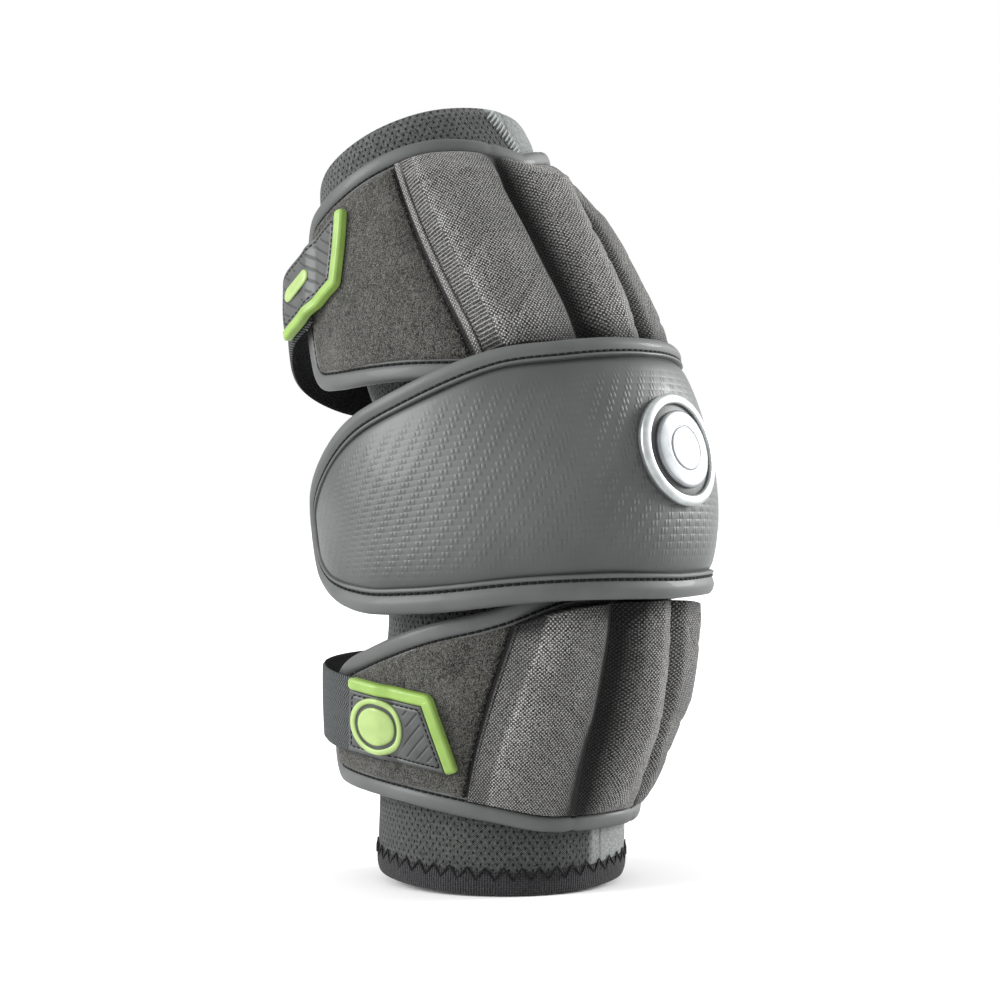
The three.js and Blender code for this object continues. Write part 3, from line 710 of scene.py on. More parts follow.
def srgb(r, g, b):
    """Linear colour from the 0 to 255 values that a picture has."""
    return tuple(((c / 255 + 0.055) / 1.055) ** 2.4 if c > 10 else c / 255 / 12.92 for c in (r, g, b))


def rib_cloth():
    look = Look("heathered_weave", 0.8, sheen=0.05, gloss=CLOTH_GLOSS)
    u, v = look.uv()
    warp = look.noise(3.5, 2)
    across = look.fit(warp, 0.7, u)
    along = look.fit(warp, 0.5, v)
    weave = look.times(look.wave(across, WEAVE_PITCH), look.wave(along, WEAVE_ROW))
    fleck = look.noise(0.6, 3)
    # Where the cloth is stretched, its rows show more than its weave
    rows = look.times(look.wave(along, WEAVE_ROW), 0.55)
    weave = look.plus(weave, look.times(look.attribute("stretch"), look.minus(rows, weave)))
    dot = look.span(weave, -0.1, 0.8)
    tone = look.fit(dot, 0.9, look.fit(fleck, 1.9, -0.86), clamp=True)
    cloth = look.colour(tone, srgb(24, 23, 23), srgb(198, 197, 195))
    pale = look.colour(tone, srgb(84, 83, 82), srgb(196, 194, 192))
    cloth = look.colour(look.attribute("strip"), cloth, pale)
    cloud = look.span(look.noise(16, 2), 0.35, 0.75, 0, 0.25)
    cloth = look.colour(cloud, cloth, srgb(66, 65, 64))
    # Painted shade: a near black mixed in where the mesh's deep attribute marks valleys and hollows
    look.paint(look.shaded(cloth, srgb(14, 14, 14)))
    look.bump(look.plus(dot, look.times(fleck, 0.6)), 0.5)
    return look.material


def mesh_knit():
    look = Look("mesh_knit", 0.9, sheen=0.08, gloss=CLOTH_GLOSS)
    u, v = look.uv()
    # Small holes in rows, every second row half a step on
    odd = look.math("MODULO", look.math("ABSOLUTE", look.number(v, HOLE_ROW)), 2.0)
    in_u = look.inside(look.plus(u, look.times(odd, HOLE_PITCH / 2)), HOLE_PITCH)
    in_v = look.inside(v, HOLE_ROW)
    far = look.math("SQRT", look.plus(look.square(in_u, HOLE_WIDTH), look.square(in_v, HOLE_HEIGHT)))
    plain = look.attribute("plain")
    hole = look.times(look.span(far, 1.5, 0.6), look.minus(1.0, plain))
    loops = look.times(look.wave(u, KNIT_PITCH), look.wave(v, KNIT_ROW))
    fleck = look.noise(0.9, 3)
    tone = look.fit(loops, 0.36, look.fit(fleck, 1.5, -0.3), clamp=True)
    knit = look.colour(tone, srgb(20, 21, 20), srgb(104, 107, 105))
    pale = look.colour(tone, srgb(84, 87, 86), srgb(150, 154, 153))
    # Painted shade where the mesh's deep attribute marks the sleeve's lower end
    knit = look.shaded(look.colour(plain, knit, pale), srgb(16, 17, 16))
    look.paint(look.colour(look.times(hole, 0.95), knit, srgb(9, 9, 9)))
    look.bump(look.minus(look.fit(loops, 0.35, fleck), look.times(hole, 1.4)), 0.35)
    return look.material


def hem_knit():
    look = Look("hem_knit", 0.9, sheen=0.08, gloss=CLOTH_GLOSS)
    u, v = look.uv()
    rib = look.fit(look.wave(u, 1.0), 0.5, look.times(look.wave(v, KNIT_ROW), 0.25))
    fleck = look.noise(0.8, 3)
    tone = look.fit(rib, 0.45, look.fit(fleck, 1.6, -0.35), clamp=True)
    look.paint(look.colour(tone, srgb(10, 10, 11), srgb(58, 58, 60)))
    look.bump(look.plus(rib, fleck), 0.3)
    return look.material


def backing_cloth():
    look = Look("backing_cloth", 0.95, sheen=0.08, gloss=CLOTH_GLOSS)
    u, v = look.uv()
    knit = look.times(look.wave(u, 1.3), look.wave(v, 1.3))
    fleck = look.noise(1.2, 3)
    tone = look.fit(knit, 0.25, fleck, clamp=True)
    look.paint(look.colour(tone, srgb(36, 36, 37), srgb(60, 60, 61)))
    look.bump(look.plus(knit, fleck), 0.2)
    return look.material


def leather(name, dark, light, roughness, emboss=False):
    look = Look(name, roughness, coat=0.05)
    height = look.times(look.noise(0.55, 4), 0.16)
    colour = look.colour(look.span(look.noise(26, 3), 0.25, 0.75), dark, light)
    if emboss:
        # Pillows on two of four cells, one cell further in each row, as in a twill
        u, v = look.uv()
        cells = look.plus(look.number(u, TWILL_CELL), look.number(v, TWILL_ROW))
        over = look.math("LESS_THAN", look.math("FLOORED_MODULO", cells, 4.0), 1.5)
        bow_u = look.minus(1.0, look.square(look.inside(u, TWILL_CELL), TWILL_CELL / 2))
        bow_v = look.minus(1.0, look.square(look.inside(v, TWILL_ROW), TWILL_ROW / 2))
        pillow = look.times(look.times(bow_u, bow_v), over)
        under = look.times(look.times(bow_v, 0.22), look.minus(1.0, over))
        fade = look.attribute("emboss")
        height = look.plus(height, look.times(look.plus(pillow, under), fade))
        # Painted shade in the pits along the pillows' sides
        pit_shade = look.times(look.times(look.span(bow_u, 0.5, 0.0), over), fade)
        colour = look.colour(look.times(pit_shade, 0.45), colour, srgb(34, 36, 35))
        # Painted shade near the cap's edges, where the mesh's deep attribute marks it
        colour = look.shaded(colour, srgb(16, 17, 17))
    look.paint(colour)
    look.bump(height, 0.22)
    return look.material


def loop_cloth():
    look = Look("brushed_loop", 1.0, sheen=0.15, gloss=CLOTH_GLOSS)
    fuzz = look.noise(0.42, 3)
    tuft = look.noise(1.5, 3)
    tone = look.plus(look.times(fuzz, 0.8), look.times(tuft, 0.22))
    tone = look.fit(look.noise(13, 3), 0.14, tone)
    pile = look.colour(look.span(tone, 0.45, 0.78), srgb(12, 12, 11), srgb(102, 101, 96))
    # Painted shadow and shade beside the rib, where the mesh's deep attribute marks it
    look.paint(look.shaded(pile, srgb(5, 5, 5)))
    look.bump(look.plus(fuzz, tuft), 0.7)
    return look.material


def webbing(name, dark, light):
    look = Look(name, 0.85, gloss=0.2)
    u, v = look.uv()
    lane = look.math("FLOOR", look.math("ABSOLUTE", look.math("DIVIDE", v, LANE_WIDTH)))
    lean = look.times(look.fit(look.math("MODULO", lane, 2.0), 2.0, -1.0), v)
    lift = look.fit(look.wave(look.plus(u, lean), LANE_STEP), 0.5, 0.5)
    tone = look.fit(look.noise(0.9, 3), 0.5, look.times(lift, 0.6), clamp=True)
    look.paint(look.colour(look.span(tone, 0.15, 0.85), dark, light))
    look.bump(lift, 0.5)
    return look.material


def rubber(name, dark, light, roughness=0.5, grooved=False):
    look = Look(name, roughness)
    colour = look.colour(look.span(look.noise(9, 3), 0.3, 0.7), dark, light)
    if grooved:
        # Painted shade in the grooves that the mesh's groove attribute marks
        colour = look.colour(look.span(look.attribute("groove"), 0.1, 0.8), colour, srgb(12, 12, 12))
    look.paint(colour)
    look.bump(look.noise(0.5, 3), 0.05)
    return look.material


def silver(name, dark, light, roughness, metallic):
    look = Look(name, roughness, metallic=metallic)
    look.paint(look.colour(look.span(look.noise(7, 2), 0.3, 0.7), dark, light))
    look.bump(look.noise(0.4, 2), 0.01)
    return look.material


def thread(name, dark, light):
    look = Look(name, 0.7, gloss=CLOTH_GLOSS)
    look.paint(look.colour(look.noise(1.2, 2), dark, light))
    look.bump(look.noise(0.35, 2), 0.12)
    return look.material


looks = {
    "ribs": rib_cloth(),
    "mesh": mesh_knit(),
    "hem": hem_knit(),
    "backing": backing_cloth(),
    "binding": leather("binding_leather", srgb(60, 62, 61), srgb(74, 76, 75), 0.62),
    "cap": leather("embossed_leather", srgb(56, 59, 58), srgb(66, 69, 68), 0.5, emboss=True),
    "loop": loop_cloth(),
    "webbing": webbing("strap_webbing", srgb(12, 13, 14), srgb(84, 87, 88)),
    "webbing_inside": webbing("strap_inside", srgb(7, 7, 7), srgb(20, 20, 21)),
    "tab": rubber("tab_rubber", srgb(48, 50, 50), srgb(60, 62, 62), grooved=True),
    "lime": rubber("lime_rubber", srgb(112, 140, 62), srgb(122, 152, 70), 0.42),
    "pale_lime": rubber("pale_lime_rubber", srgb(130, 152, 88), srgb(142, 164, 100), 0.42),
    "ring": silver("badge_ring", srgb(150, 154, 154), srgb(172, 176, 176), 0.4, 0.75),
    "silver": silver("brushed_silver", srgb(116, 119, 121), srgb(132, 135, 137), 0.42, 0.6),
    "groove": rubber("badge_groove", srgb(48, 50, 50), srgb(60, 62, 62)),
    "fibre": thread("loop_fibre", srgb(52, 51, 48), srgb(138, 136, 130)),
    "dark_thread": thread("dark_thread", srgb(6, 6, 7), srgb(20, 20, 21)),
    "light_thread": thread("light_thread", srgb(120, 125, 124), srgb(168, 173, 172)),
}


def finish_piece(piece, slot, *nodes, padded=None):
    """Attaches a piece to the root and hides the nodes that it stands for. slot and padded are not used."""
    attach(piece, "root")
    if nodes:
        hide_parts(*nodes)


def clad(name, slot, node, material, axes, place, heights, uv, lining=None, padded=None, ring=False,
         **attributes):
    """The piece for a node: a wall between two heights over a skin. lining gives its inside another skin."""
    inner = skin(lining or axes, *place, heights[0])
    outer = skin(axes, *place, heights[1])
    piece = shell(name, inner, outer, np.stack(uv, -1), material, ring, attributes)
    finish_piece(piece, slot, node, padded=padded)


# Sleeve

def rim(angle):
    """The sleeve's upper end, which is tilted."""
    return SLEEVE_UP + SLEEVE_RIM_TILT * np.cos((angle - SLEEVE_RIM_TURN_DEG) * RAD)


def sleeve_seam(s):
    """Angle of the sewn seam down the sleeve's outer side."""
    return lerp(3, -9, smooth(s, -SLEEVE_DOWN, 100)) + 2.5 + 20 * smooth(s, 118, 152)


def sleeve_folds(s, angle):
    """Stretch folds inside the elbow and soft waves elsewhere."""
    turn = angle * RAD * 47
    crook = hump(((angle + 180) % 360) - 360, 60) + hump((angle - 180) % 360, 60)
    folds = np.sin(2 * math.pi * (s + 3 * np.sin(turn / 17)) / 17) * hump(s + 6, 45)
    return 0.9 * crook * folds + 0.22 * ripple(turn, s, 34, 3)


def hem_edge(angle):
    """The sleeve's lower end, cut a little lower towards the front of the arm's outer side."""
    return -SLEEVE_DOWN + HEM_TILT * (1 - np.cos((angle - HEM_TILT_TURN_DEG) * RAD)) / 2


def full_turn(columns, rows):
    """Grid of even angles once round the arm."""
    return np.repeat(np.linspace(0, 360, columns, endpoint=False)[:, None], rows, 1)


def build_sleeve():
    columns, rows = SLEEVE_GRID
    angle = full_turn(columns, rows)
    low = hem_edge(angle) + HEM_HEIGHT - SLEEVE_TUCK
    share = np.linspace(0, 1, rows)[None]
    share = share + 0.012 * np.sin(2 * math.pi * share)
    s = lerp(low, rim(angle), share)
    folds = sleeve_folds(s, angle)
    top = rim(angle) - s
    lip = 0.45 * hump(top - 1.6, 1.5)
    tuck = -0.7 * smooth(s, low + 5, low + 1)
    close = 0.8 * smooth(top, 1.2, 0)
    heights = (folds - SLEEVE_WALL * 0.8 + 0.5 * tuck + 0.3 * close, folds + lip + tuck - close)
    # A plain strip of knit beside the seam, and painted shade on the lower end, under the lower guard
    from_seam = sleeve_seam(s) - ((angle + 180) % 360 - 180)
    plain = smooth(from_seam, -1.5, 0.5) * smooth(from_seam, PLAIN_STRIP_DEG + 1, PLAIN_STRIP_DEG - 1)
    deep = 0.34 * smooth(s, -60, -120) * (1 - plain)
    uv = (angle * RAD * SLEEVE_TURN, s)
    clad("knit_sleeve", "mesh_knit", "sleeve", looks["mesh"], sleeve_axes, (s, angle), heights, uv, ring=True,
         plain=plain, deep=deep)

    # Flat seam with light cross stitches where it shows above the guard
    s = np.arange(*SEAM_STITCHES)
    points, along, out, across = frames_on(sleeve_axes, s, sleeve_seam(s), False, 0.45)
    slant = along * 0.15 + across
    slant /= np.linalg.norm(slant, axis=1, keepdims=True)
    crossing = (points, slant, out, np.cross(out, slant))
    stitches = threads("sleeve_seam", crossing, looks["light_thread"], 5.8, 0.85, 0.7)
    finish_piece(stitches, "mesh_knit")


def build_hem():
    columns, rows = HEM_GRID
    angle = full_turn(columns, rows)
    share = np.linspace(0, 1, rows)[None]
    s = hem_edge(angle) + HEM_HEIGHT * share
    crown = 1 - np.abs(2 * share - 1) ** 3.0
    turn = angle * RAD * SLEEVE_TURN
    heights = (-HEM_WALL + 0.8 - 0.4 * crown + 0 * angle, 0.75 * crown + 0.15 * ripple(turn, s, 26, 5))
    clad("hem_band", "hem_knit", "hem", looks["hem"], sleeve_axes, (s, angle), heights, (turn, s), ring=True)

    # Zigzag thread that holds the hem
    t = np.arange(ZIGZAGS * 8) / 8
    swing = np.abs((t % 1) * 2 - 1) * 2 - 1
    angle = t / ZIGZAGS * 360
    s = hem_edge(angle) + HEM_HEIGHT - 0.8 + 2.3 * swing
    grow = lerp(0.75, 0.4, smooth(swing, 0, 0.5))
    placed = frames_on(sleeve_axes, s, angle, True, grow)
    turn = np.arange(6) * math.pi / 3
    profile = np.stack([0.4 * np.cos(turn), 0.3 * np.sin(turn)], -1)
    finish_piece(sweep("hem_zigzag", placed, profile, looks["dark_thread"], True), "hem_knit")


# Guards

def between(left, right, start, end, columns, rows):
    """Grids of s and angle between two lines from the cap to a guard's far edge."""
    u = 0.5 - 0.5 * np.cos(np.linspace(0, 1, columns) * math.pi)

    def meet(edge):
        s = edge(np.abs(lerp(left(0 * u), right(0 * u), u)))
        for _ in range(5):
            s = edge(np.abs(lerp(left(s), right(s), u)))
        return s

    v = np.linspace(0, 1, rows)
    v = 0.6 * v + 0.4 * (0.5 - 0.5 * np.cos(v * math.pi))
    s = lerp(meet(start)[:, None], meet(end)[:, None], v[None])
    return s, lerp(left(s), right(s), u[:, None]), u[:, None] + 0 * s, v[None] + 0 * s


def seam_line(guard, column, sign, gap):
    """Line along a seam of the guard's table, on one side of the arm, moved outwards by a gap."""
    def line(s):
        along = guard["up"] * s / guard["far"]
        return sign * (through(guard["seams"], "along", column, along) + gap / (GUARD_SPREAD * RAD))

    return line


def ramp(x, start, end, softness):
    """A straight rise from 0 to 1 with rounded ends."""
    rise = np.logaddexp(0, (x - start) / softness) - np.logaddexp(0, (x - end) / softness)
    return rise * softness / (end - start)


def build_rib(name, guard, number):
    """A padded rib. Outer ribs have a flat sewn strip and a slope outwards, and a steep side inwards."""
    up = guard["up"]
    outer_rib = number != 2
    strip_width = guard["strip"]
    foot = strip_width + guard["slope"]
    shape = guard_shape(guard)
    cap_edge = CAP_SHAPE["high"] if up > 0 else CAP_SHAPE["low"]
    (left_seam, left_side, left_gap), (right_seam, right_side, right_gap) = RIB_SEAMS[number - 1]
    left = seam_line(guard, left_seam, left_side, left_gap)
    right = seam_line(guard, right_seam, right_side, right_gap)

    def start(angle):
        clear_of_cap = up * cap_edge(angle) + 0.2
        clear_of_binding = up * shape["close"](angle) + BINDING_WIDTH + 0.2
        return up * np.maximum(clear_of_cap, clear_of_binding)

    def end(angle):
        return shape["far"](angle) - up * (BINDING_WIDTH - 1.2)

    s, angle, u, v = between(left, right, start, end, *RIB_GRID)
    length = np.abs(end(np.abs(angle)) - start(np.abs(angle)))
    spread = (angle.max(0) - angle.min(0)) * RAD * (GUARD_SPREAD + RIB_HEIGHT / 2)
    if outer_rib:
        x = (u if number == 1 else 1 - u) * spread
        side = spread - x
        round_off = 14
    else:
        x = (1 - np.abs(2 * u - 1)) * spread / 2
        side = x
        round_off = 9
    steep = 0.7 * ramp(side, 0.8, RIB_SIDE, 0.7) + 0.3 * ramp(side, RIB_SIDE, RIB_SIDE + round_off, 2.5)
    crest = steep
    if outer_rib:
        strip = 0.15 * smooth(x, 0, 0.5) - 0.12 * hump(x - strip_width, 0.4)
        slope = 0.76 * ramp(x, strip_width + 0.3, foot, 0.35) + 0.11 * ramp(x, foot, foot + 12, 1.2)
        crest = np.minimum(strip + slope, steep)
    fall = np.clip(((1 - v) * length + 0.4) / guard["taper"][number - 1], 0, 1) ** guard["taper_power"]
    round_a = angle * RAD * (GUARD_SPREAD + RIB_HEIGHT)
    spans = ((round_a.min(), round_a.max()), (s.min(), s.max()))
    furrows = creases(round_a, s, spans, -32 * up, 22, 20 + number + up, 15, 1.1)
    waves = 0.28 * ripple(round_a, s, 30, 11 + number) + 0.8 * furrows
    full = RIB_HEIGHT + (0.4 if outer_rib else 2) - RIB_EDGE
    height = RIB_EDGE * 0.6 + full * crest * fall + waves * crest * smooth(v, 0, 0.08)

    # Painted shade: the valleys, the fold beside the strip and the slope a little are darker, and so are the
    # strip's outer edge, the top past the slope, the near end and a little the whole rib
    hollow = guard["hollow"]
    reach = hollow["reach"][number - 1]
    from_valley = side if outer_rib else u * spread
    deep = 0.7 * hump(from_valley, reach) + 0.25 * hump(from_valley, 2.1 * reach)
    deep = np.maximum(deep, 0.8 * hump(side, 3)) + hollow["all"]
    strip_share = 0 * x
    stretch = 0 * x
    if outer_rib:
        strip_share = smooth(x, strip_width, strip_width - 0.6)
        deep = deep + 0.85 * smooth(x, 0.9, 0.3) + 0.4 * hump(x - strip_width, 0.6)
        stretch = smooth(x, strip_width, strip_width + 1) * smooth(x, foot + 0.5, foot - 1.5)
        deep = deep + hollow["slope"] * stretch + 0.2 * smooth(x, foot + 1, foot + hollow["past_slope"])
        # Painted highlight along the top of the slope
        deep = deep - 0.1 * hump(x - foot, 1.6)
    deep = deep + 0.4 * hump(v * length, 4.5)
    clad(f"{name}_rib_pad_{number}", "rib_cloth", f"{name}_rib_{number}", looks["ribs"], panel_axes(guard),
         (s, angle), (0.15 + 0 * s, LIE + height), (round_a, s), padded=0.9,
         strip=strip_share, deep=np.clip(deep, 0, 0.95), stretch=stretch * hollow["stretched"])


def build_panel(name, guard):
    """Foam panel with its backing cloth, which also shows on the plain far wing, and its folded binding."""
    shape = guard_shape(guard)
    axes = panel_axes(guard)
    s, angle, _ = shell_place(shape, BINDING_WIDTH - 3, *PANEL_GRID)
    turn = angle * RAD * PANEL_TURN
    heights = (0.1 + 0 * s, 0.25 * ripple(turn, s, 40, 31) * 0.3 - 0.1)
    clad(f"{name}_guard_panel", "panel_cloth", f"{name}_panel", looks["backing"], axes, (s, angle), heights,
         (turn, s), panel_inner_axes(guard), padded=0.8)

    # The binding is drawn in where the valleys between the ribs end
    def swell(s, angle):
        at_far = smooth(guard["up"] * s / guard["far"], 0.75, 0.85)
        valley = through(guard["seams"], "along", "valley", 1.0)
        return 1 - 0.2 * at_far * hump((np.abs(angle) - valley) * RAD * GUARD_SPREAD, 1.8)

    build_binding(name, shape, axes, BINDING_WIDTH, BINDING_PROUD, PANEL_WALL, swell)


def build_patch(name, guard):
    """Brushed patch on the closing wing, and its fibres."""
    shape = guard_shape(guard)
    up = guard["up"]
    axes = panel_axes(guard)
    inset = BINDING_WIDTH - 0.8
    wing_end = shape["wrap"] - (inset + 1.5) / (shape["radius"](np.array(up * 90.0)) * RAD)
    s, angle, u, v = between(
        seam_line(guard, "field", 1, RIB_SEAM * 1.15),
        lambda s: wing_end + 0 * s,
        lambda angle: shape["low"](angle) + inset,
        lambda angle: shape["high"](angle) - inset,
        *PATCH_GRID,
    )
    edge = np.minimum(np.minimum(u, 1 - u) * 60, np.minimum(v, 1 - v) * 60)
    height = 0.35 + LOOP_WALL * smooth(edge, 0, 1.6)
    beside_rib = u * (wing_end - angle.min()) * RAD * GUARD_SPREAD
    turn = angle * RAD * PANEL_TURN
    height = height + 0.3 * ripple(turn, s * 0.35, 20, 51) + 0.07 * ripple(turn, s, 5, 52)
    height = height - 0.35 * hump(beside_rib - 13, 3.5)
    # Painted shadow along the edge beside the rib's strip, and painted shade fading out from it
    deep = np.clip(0.95 * smooth(beside_rib, 1.6, 0.8) + 0.3 * hump(beside_rib, 6), 0, 0.95)
    clad(f"{name}_brushed_patch", "loop_cloth", f"{name}_loop_patch", looks["loop"], axes, (s, angle),
         (0.12 + 0 * s, height), (turn, s), deep=deep)

    # Short arching fibres, thickly strewn over the patch
    rng = np.random.default_rng(70 + up)
    columns, rows = s.shape
    column = rng.integers(4, columns - 2, FIBRES)
    row = rng.integers(2, rows - 2, FIBRES)
    from_column = column + rng.uniform(-1, 1, FIBRES)
    base_s = s[column, row] + rng.uniform(-0.6, 0.6, FIBRES)
    middle = angle[:, rows // 2]
    base_angle = np.interp(from_column, np.arange(columns), middle) - middle[column] + angle[column, row]
    turn = rng.uniform(0, 2 * math.pi, FIBRES)
    reach = rng.uniform(0.25, 0.7, FIBRES)
    rise = rng.uniform(0.25, 0.6, FIBRES)
    rings = []
    for share, up_share, girth in ((-1, 0, 0.4), (-0.4, 0.85, 1), (0.4, 0.85, 1), (1, 0, 0.4)):
        at_s = base_s + share * reach * np.sin(turn)
        at_angle = base_angle + share * reach * np.cos(turn) / (GUARD_SPREAD * RAD)
        level = height[column, row] - 0.05 + rise * up_share
        for quarter in range(4):
            side = FIBRE_GIRTH * girth * math.cos(quarter * math.pi / 2)
            out = FIBRE_GIRTH * girth * math.sin(quarter * math.pi / 2)
            beside = at_angle - side * np.sin(turn) / (GUARD_SPREAD * RAD)
            rings.append(skin(axes, at_s + side * np.cos(turn), beside, level + out))
    fibres = strewn(f"{name}_patch_fibres", rings, 4, looks["fibre"])
    finish_piece(fibres, "loop_cloth")


def build_binding(name, shape, axes, width, proud, wall, swell):
    """A folded strip sewn round a shell's edge: a roll, a groove with its stitches, and a narrow lip."""
    w = width / 2
    groove = w - 1.45
    profile = rounded([
        (w + 0.1, -0.2), (w - 0.25, 0.5), (w - 0.75, 0.55), (groove, 0.0), (groove - 0.5, 0.5),
        (groove - 1.2, 1.0), (groove - 2.4, proud), (-w + 1.9, proud), (-w + 0.6, proud - 0.6), (-w, -0.4),
        (-w - 0.1, -wall / 2), (-w + 0.4, 0.6 - wall), (-w + 1.8, -wall - 0.1), (w - 2.6, -wall - 0.1),
        (w - 0.4, 0.3 - wall),
    ])
    s, angle = outline(shape, w, axes, BINDING_STEP)
    placed = frames_on(axes, s, angle, True)
    run = np.arange(len(s)) * BINDING_STEP
    uneven = 0.02 * ripple(run, 0 * run, 45, 41) + 0.01 * ripple(run, 0 * run, 8, 42)
    roll = sweep(f"{name}_binding_roll", placed, profile, looks["binding"], True, swell(s, angle) + uneven)
    finish_piece(roll, "binding_leather", f"{name}_binding")
    s, angle = outline(shape, w, axes, STITCH_STEP)
    points, along, out, across = frames_on(axes, s, angle, True)
    size = swell(s, angle)[:, None]
    points = points + across * groove * size + out * (0.34 * size)
    placed = (points, along, out, across)
    stitches = threads(f"{name}_binding_stitches", placed, looks["dark_thread"], 2.8, 1.0, 0.7)
    finish_piece(stitches, "binding_leather")


# Elbow cap and badge

def build_cap():
    s, angle, _ = shell_place(CAP_SHAPE, CAP_BINDING_WIDTH - 1.5, *CAP_GRID)
    low, high = s[:, :1], s[:, -1:]
    wrap = angle.max()
    from_edge = np.minimum(np.minimum(s - low, high - s), (wrap - np.abs(angle)) * RAD * CAP_SIDE)
    pull = -1.5 * hump(from_edge, 2.4) - 0.5 * hump(from_edge, 7)
    turn = angle * RAD * CAP_SIDE
    heights = (0.3 * hump(from_edge, 5), 0.3 + pull + 0.22 * ripple(turn, s, 48, 61))
    fade = smooth(from_edge, 2, 12) * (0.6 + 0.4 * smooth(s, 28, -5))
    # Painted shade near the lower and upper edges, where the leather turns away
    deep = 0.42 * hump(s - low, 9) + 0.3 * hump(high - s, 10)
    clad("cap_pad", "cap_leather", "cap_shell", looks["cap"], cap_axes, (s, angle), heights, (turn, s),
         cap_inner_axes, padded=0.9, emboss=fade, deep=deep)

    # The binding is thicker along the lower edge
    def swell(s, angle):
        return 1.02 + 0.3 * smooth(-s, 22, 38) * smooth(np.abs(angle), 125, 100)

    wall = CAP_EDGE_WALL + 1.2
    build_binding("cap", CAP_SHAPE, cap_axes, CAP_BINDING_WIDTH, CAP_BINDING_PROUD, wall, swell)


def turned(name, place, axes, profile, material, steps=96, bed=lambda angle: 0, stretch=0):
    """A round body on a skin, from a profile of (radius, height), or a longer one where it is stretched.

    place turns (right, up) into (s, angle), and bed gives the height that it lies at.
    """
    turn = np.arange(steps) * 2 * math.pi / steps
    profile = np.array(profile, float)
    radius, height = profile[:, 0][None], profile[:, 1][None]
    right = radius * np.cos(turn)[:, None] + stretch * np.sign(np.cos(turn))[:, None]
    up = radius * np.sin(turn)[:, None]
    s, angle = place(right, up)
    points = skin(axes, s, angle, bed(angle) + height)
    uv = np.stack([right, up], -1).reshape(-1, 2)
    return make_mesh(name, points.reshape(-1, 3), loop_faces(steps, len(profile), True), material, uv)


def build_badge():
    """Base plate, raised rim and middle disc on the cap."""
    spread = 1 + CAP_REACH * BEND / BEND_LENGTH  # of lengths along the outside of the bend

    def place(right, up):
        return BADGE_HEIGHT + up / spread, right / (CAP_SIDE * RAD)

    def add(name, profile, look, slot, node):
        finish_piece(turned(name, place, cap_axes, profile, looks[look]), slot, node)

    top = LIE + BADGE_BASE + LIE + BADGE_RAISE
    r = BADGE_RADIUS
    inner = r - BADGE_RIM
    plate = [(0.05, 0.1), (r - 0.3, 0.1), (r - 0.1, 0.7), (r - 0.4, 1.3), (inner + 0.4, 1.7),
             (inner - 0.3, 1.9), (inner - 3.2, 1.9), (0.6, 1.9), (0.05, 1.9)]
    add("badge_base", plate, "groove", "tab_rubber", "badge_plate")
    ring = [(inner, 1.3), (inner + 0.1, top - 0.7), (inner + 0.6, top - 0.15), (inner + 1.2, top),
            (r - 1.2, top), (r - 0.5, top - 0.2), (r, top - 0.8), (r - 0.05, 1.3)]
    add("badge_ring", ring, "ring", "silver_plastic", "badge_rim")
    d = inner - BADGE_GROOVE + 0.5
    line = d * 0.6  # radius of the fine ring that is cut into the disc
    disc = [(0.05, 1.8), (d, 1.8), (d, top - 0.6), (d - 0.2, top - 0.25), (d - 0.6, top - 0.05),
            (d - 1.4, top), (d * 0.8, top), (d * 0.64, top), (line, top), (line - 0.2, top - 0.2),
            (line - 0.5, top - 0.2), (line - 0.7, top), (d * 0.5, top), (d * 0.35, top), (d * 0.2, top),
            (0.6, top), (0.12, top), (0.04, top)]
    add("badge_dome", disc, "silver", "silver_plastic", "badge_disc")


# Straps and tabs

def strap_lift(guard, angle):
    """Height of a strap over the guard's skin: on the patch, across the crook, and where it is sewn."""
    first = guard["strap"]["angle"][0]
    off_patch = lerp(ON_PATCH, guard["strap_lift"], smooth(angle, first, first + STRAP_RISE_DEG))
    return lerp(off_patch, LIE, smooth(angle, STRAP_DOWN_DEG, STRAP_SEWN_DEG))


def build_strap(name, guard):
    line = guard["strap"]
    columns, rows = STRAP_GRID
    angle = np.repeat(np.linspace(line["angle"][0], line["angle"][-1], columns)[:, None], rows, 1)
    v = np.linspace(0, 1, rows)[None]
    middle = through(line, "angle", "s", angle)
    s = middle + STRAP_WIDTH * (v - 0.5)
    run = angle * RAD * GUARD_SPREAD
    edge = np.minimum(v, 1 - v) * STRAP_WIDTH
    wall = STRAP_WALL * (0.55 + 0.45 * smooth(edge, 0, 1.0))
    sway = 0.35 * ripple(run, s * 0.3, 46, 81) * smooth(angle, 128, 150) * smooth(angle, 240, 225)
    lift = strap_lift(guard, angle) + sway
    materials = [looks["webbing"], looks["webbing_inside"]]
    clad(f"{name}_webbing", "webbing", f"{name}_strap", materials, panel_axes(guard), (s, angle),
         (lift + STRAP_WALL - wall, lift + wall), (run, s - middle))

    # Box of stitches where the strap is sewn to the far wing
    long_side = np.arange(-12, 12.1, 3)
    short_side = np.arange(-5, 5.1, 2.6)
    along = np.concatenate([short_side, np.full(9, 5.2), np.arange(5, -5.1, -2.6), np.full(9, -5.2)])
    across = np.concatenate([np.full(4, -12.0), long_side, np.full(4, 12.0), -long_side])
    at = line["angle"][-1] - 7 + along / (GUARD_SPREAD * RAD)
    s = through(line, "angle", "s", at) + across
    placed = frames_on(panel_axes(guard), s, at, True, LIE + STRAP_WALL + 0.1)
    finish_piece(threads(f"{name}_strap_box", placed, looks["dark_thread"], 2.2, 0.7), "webbing")


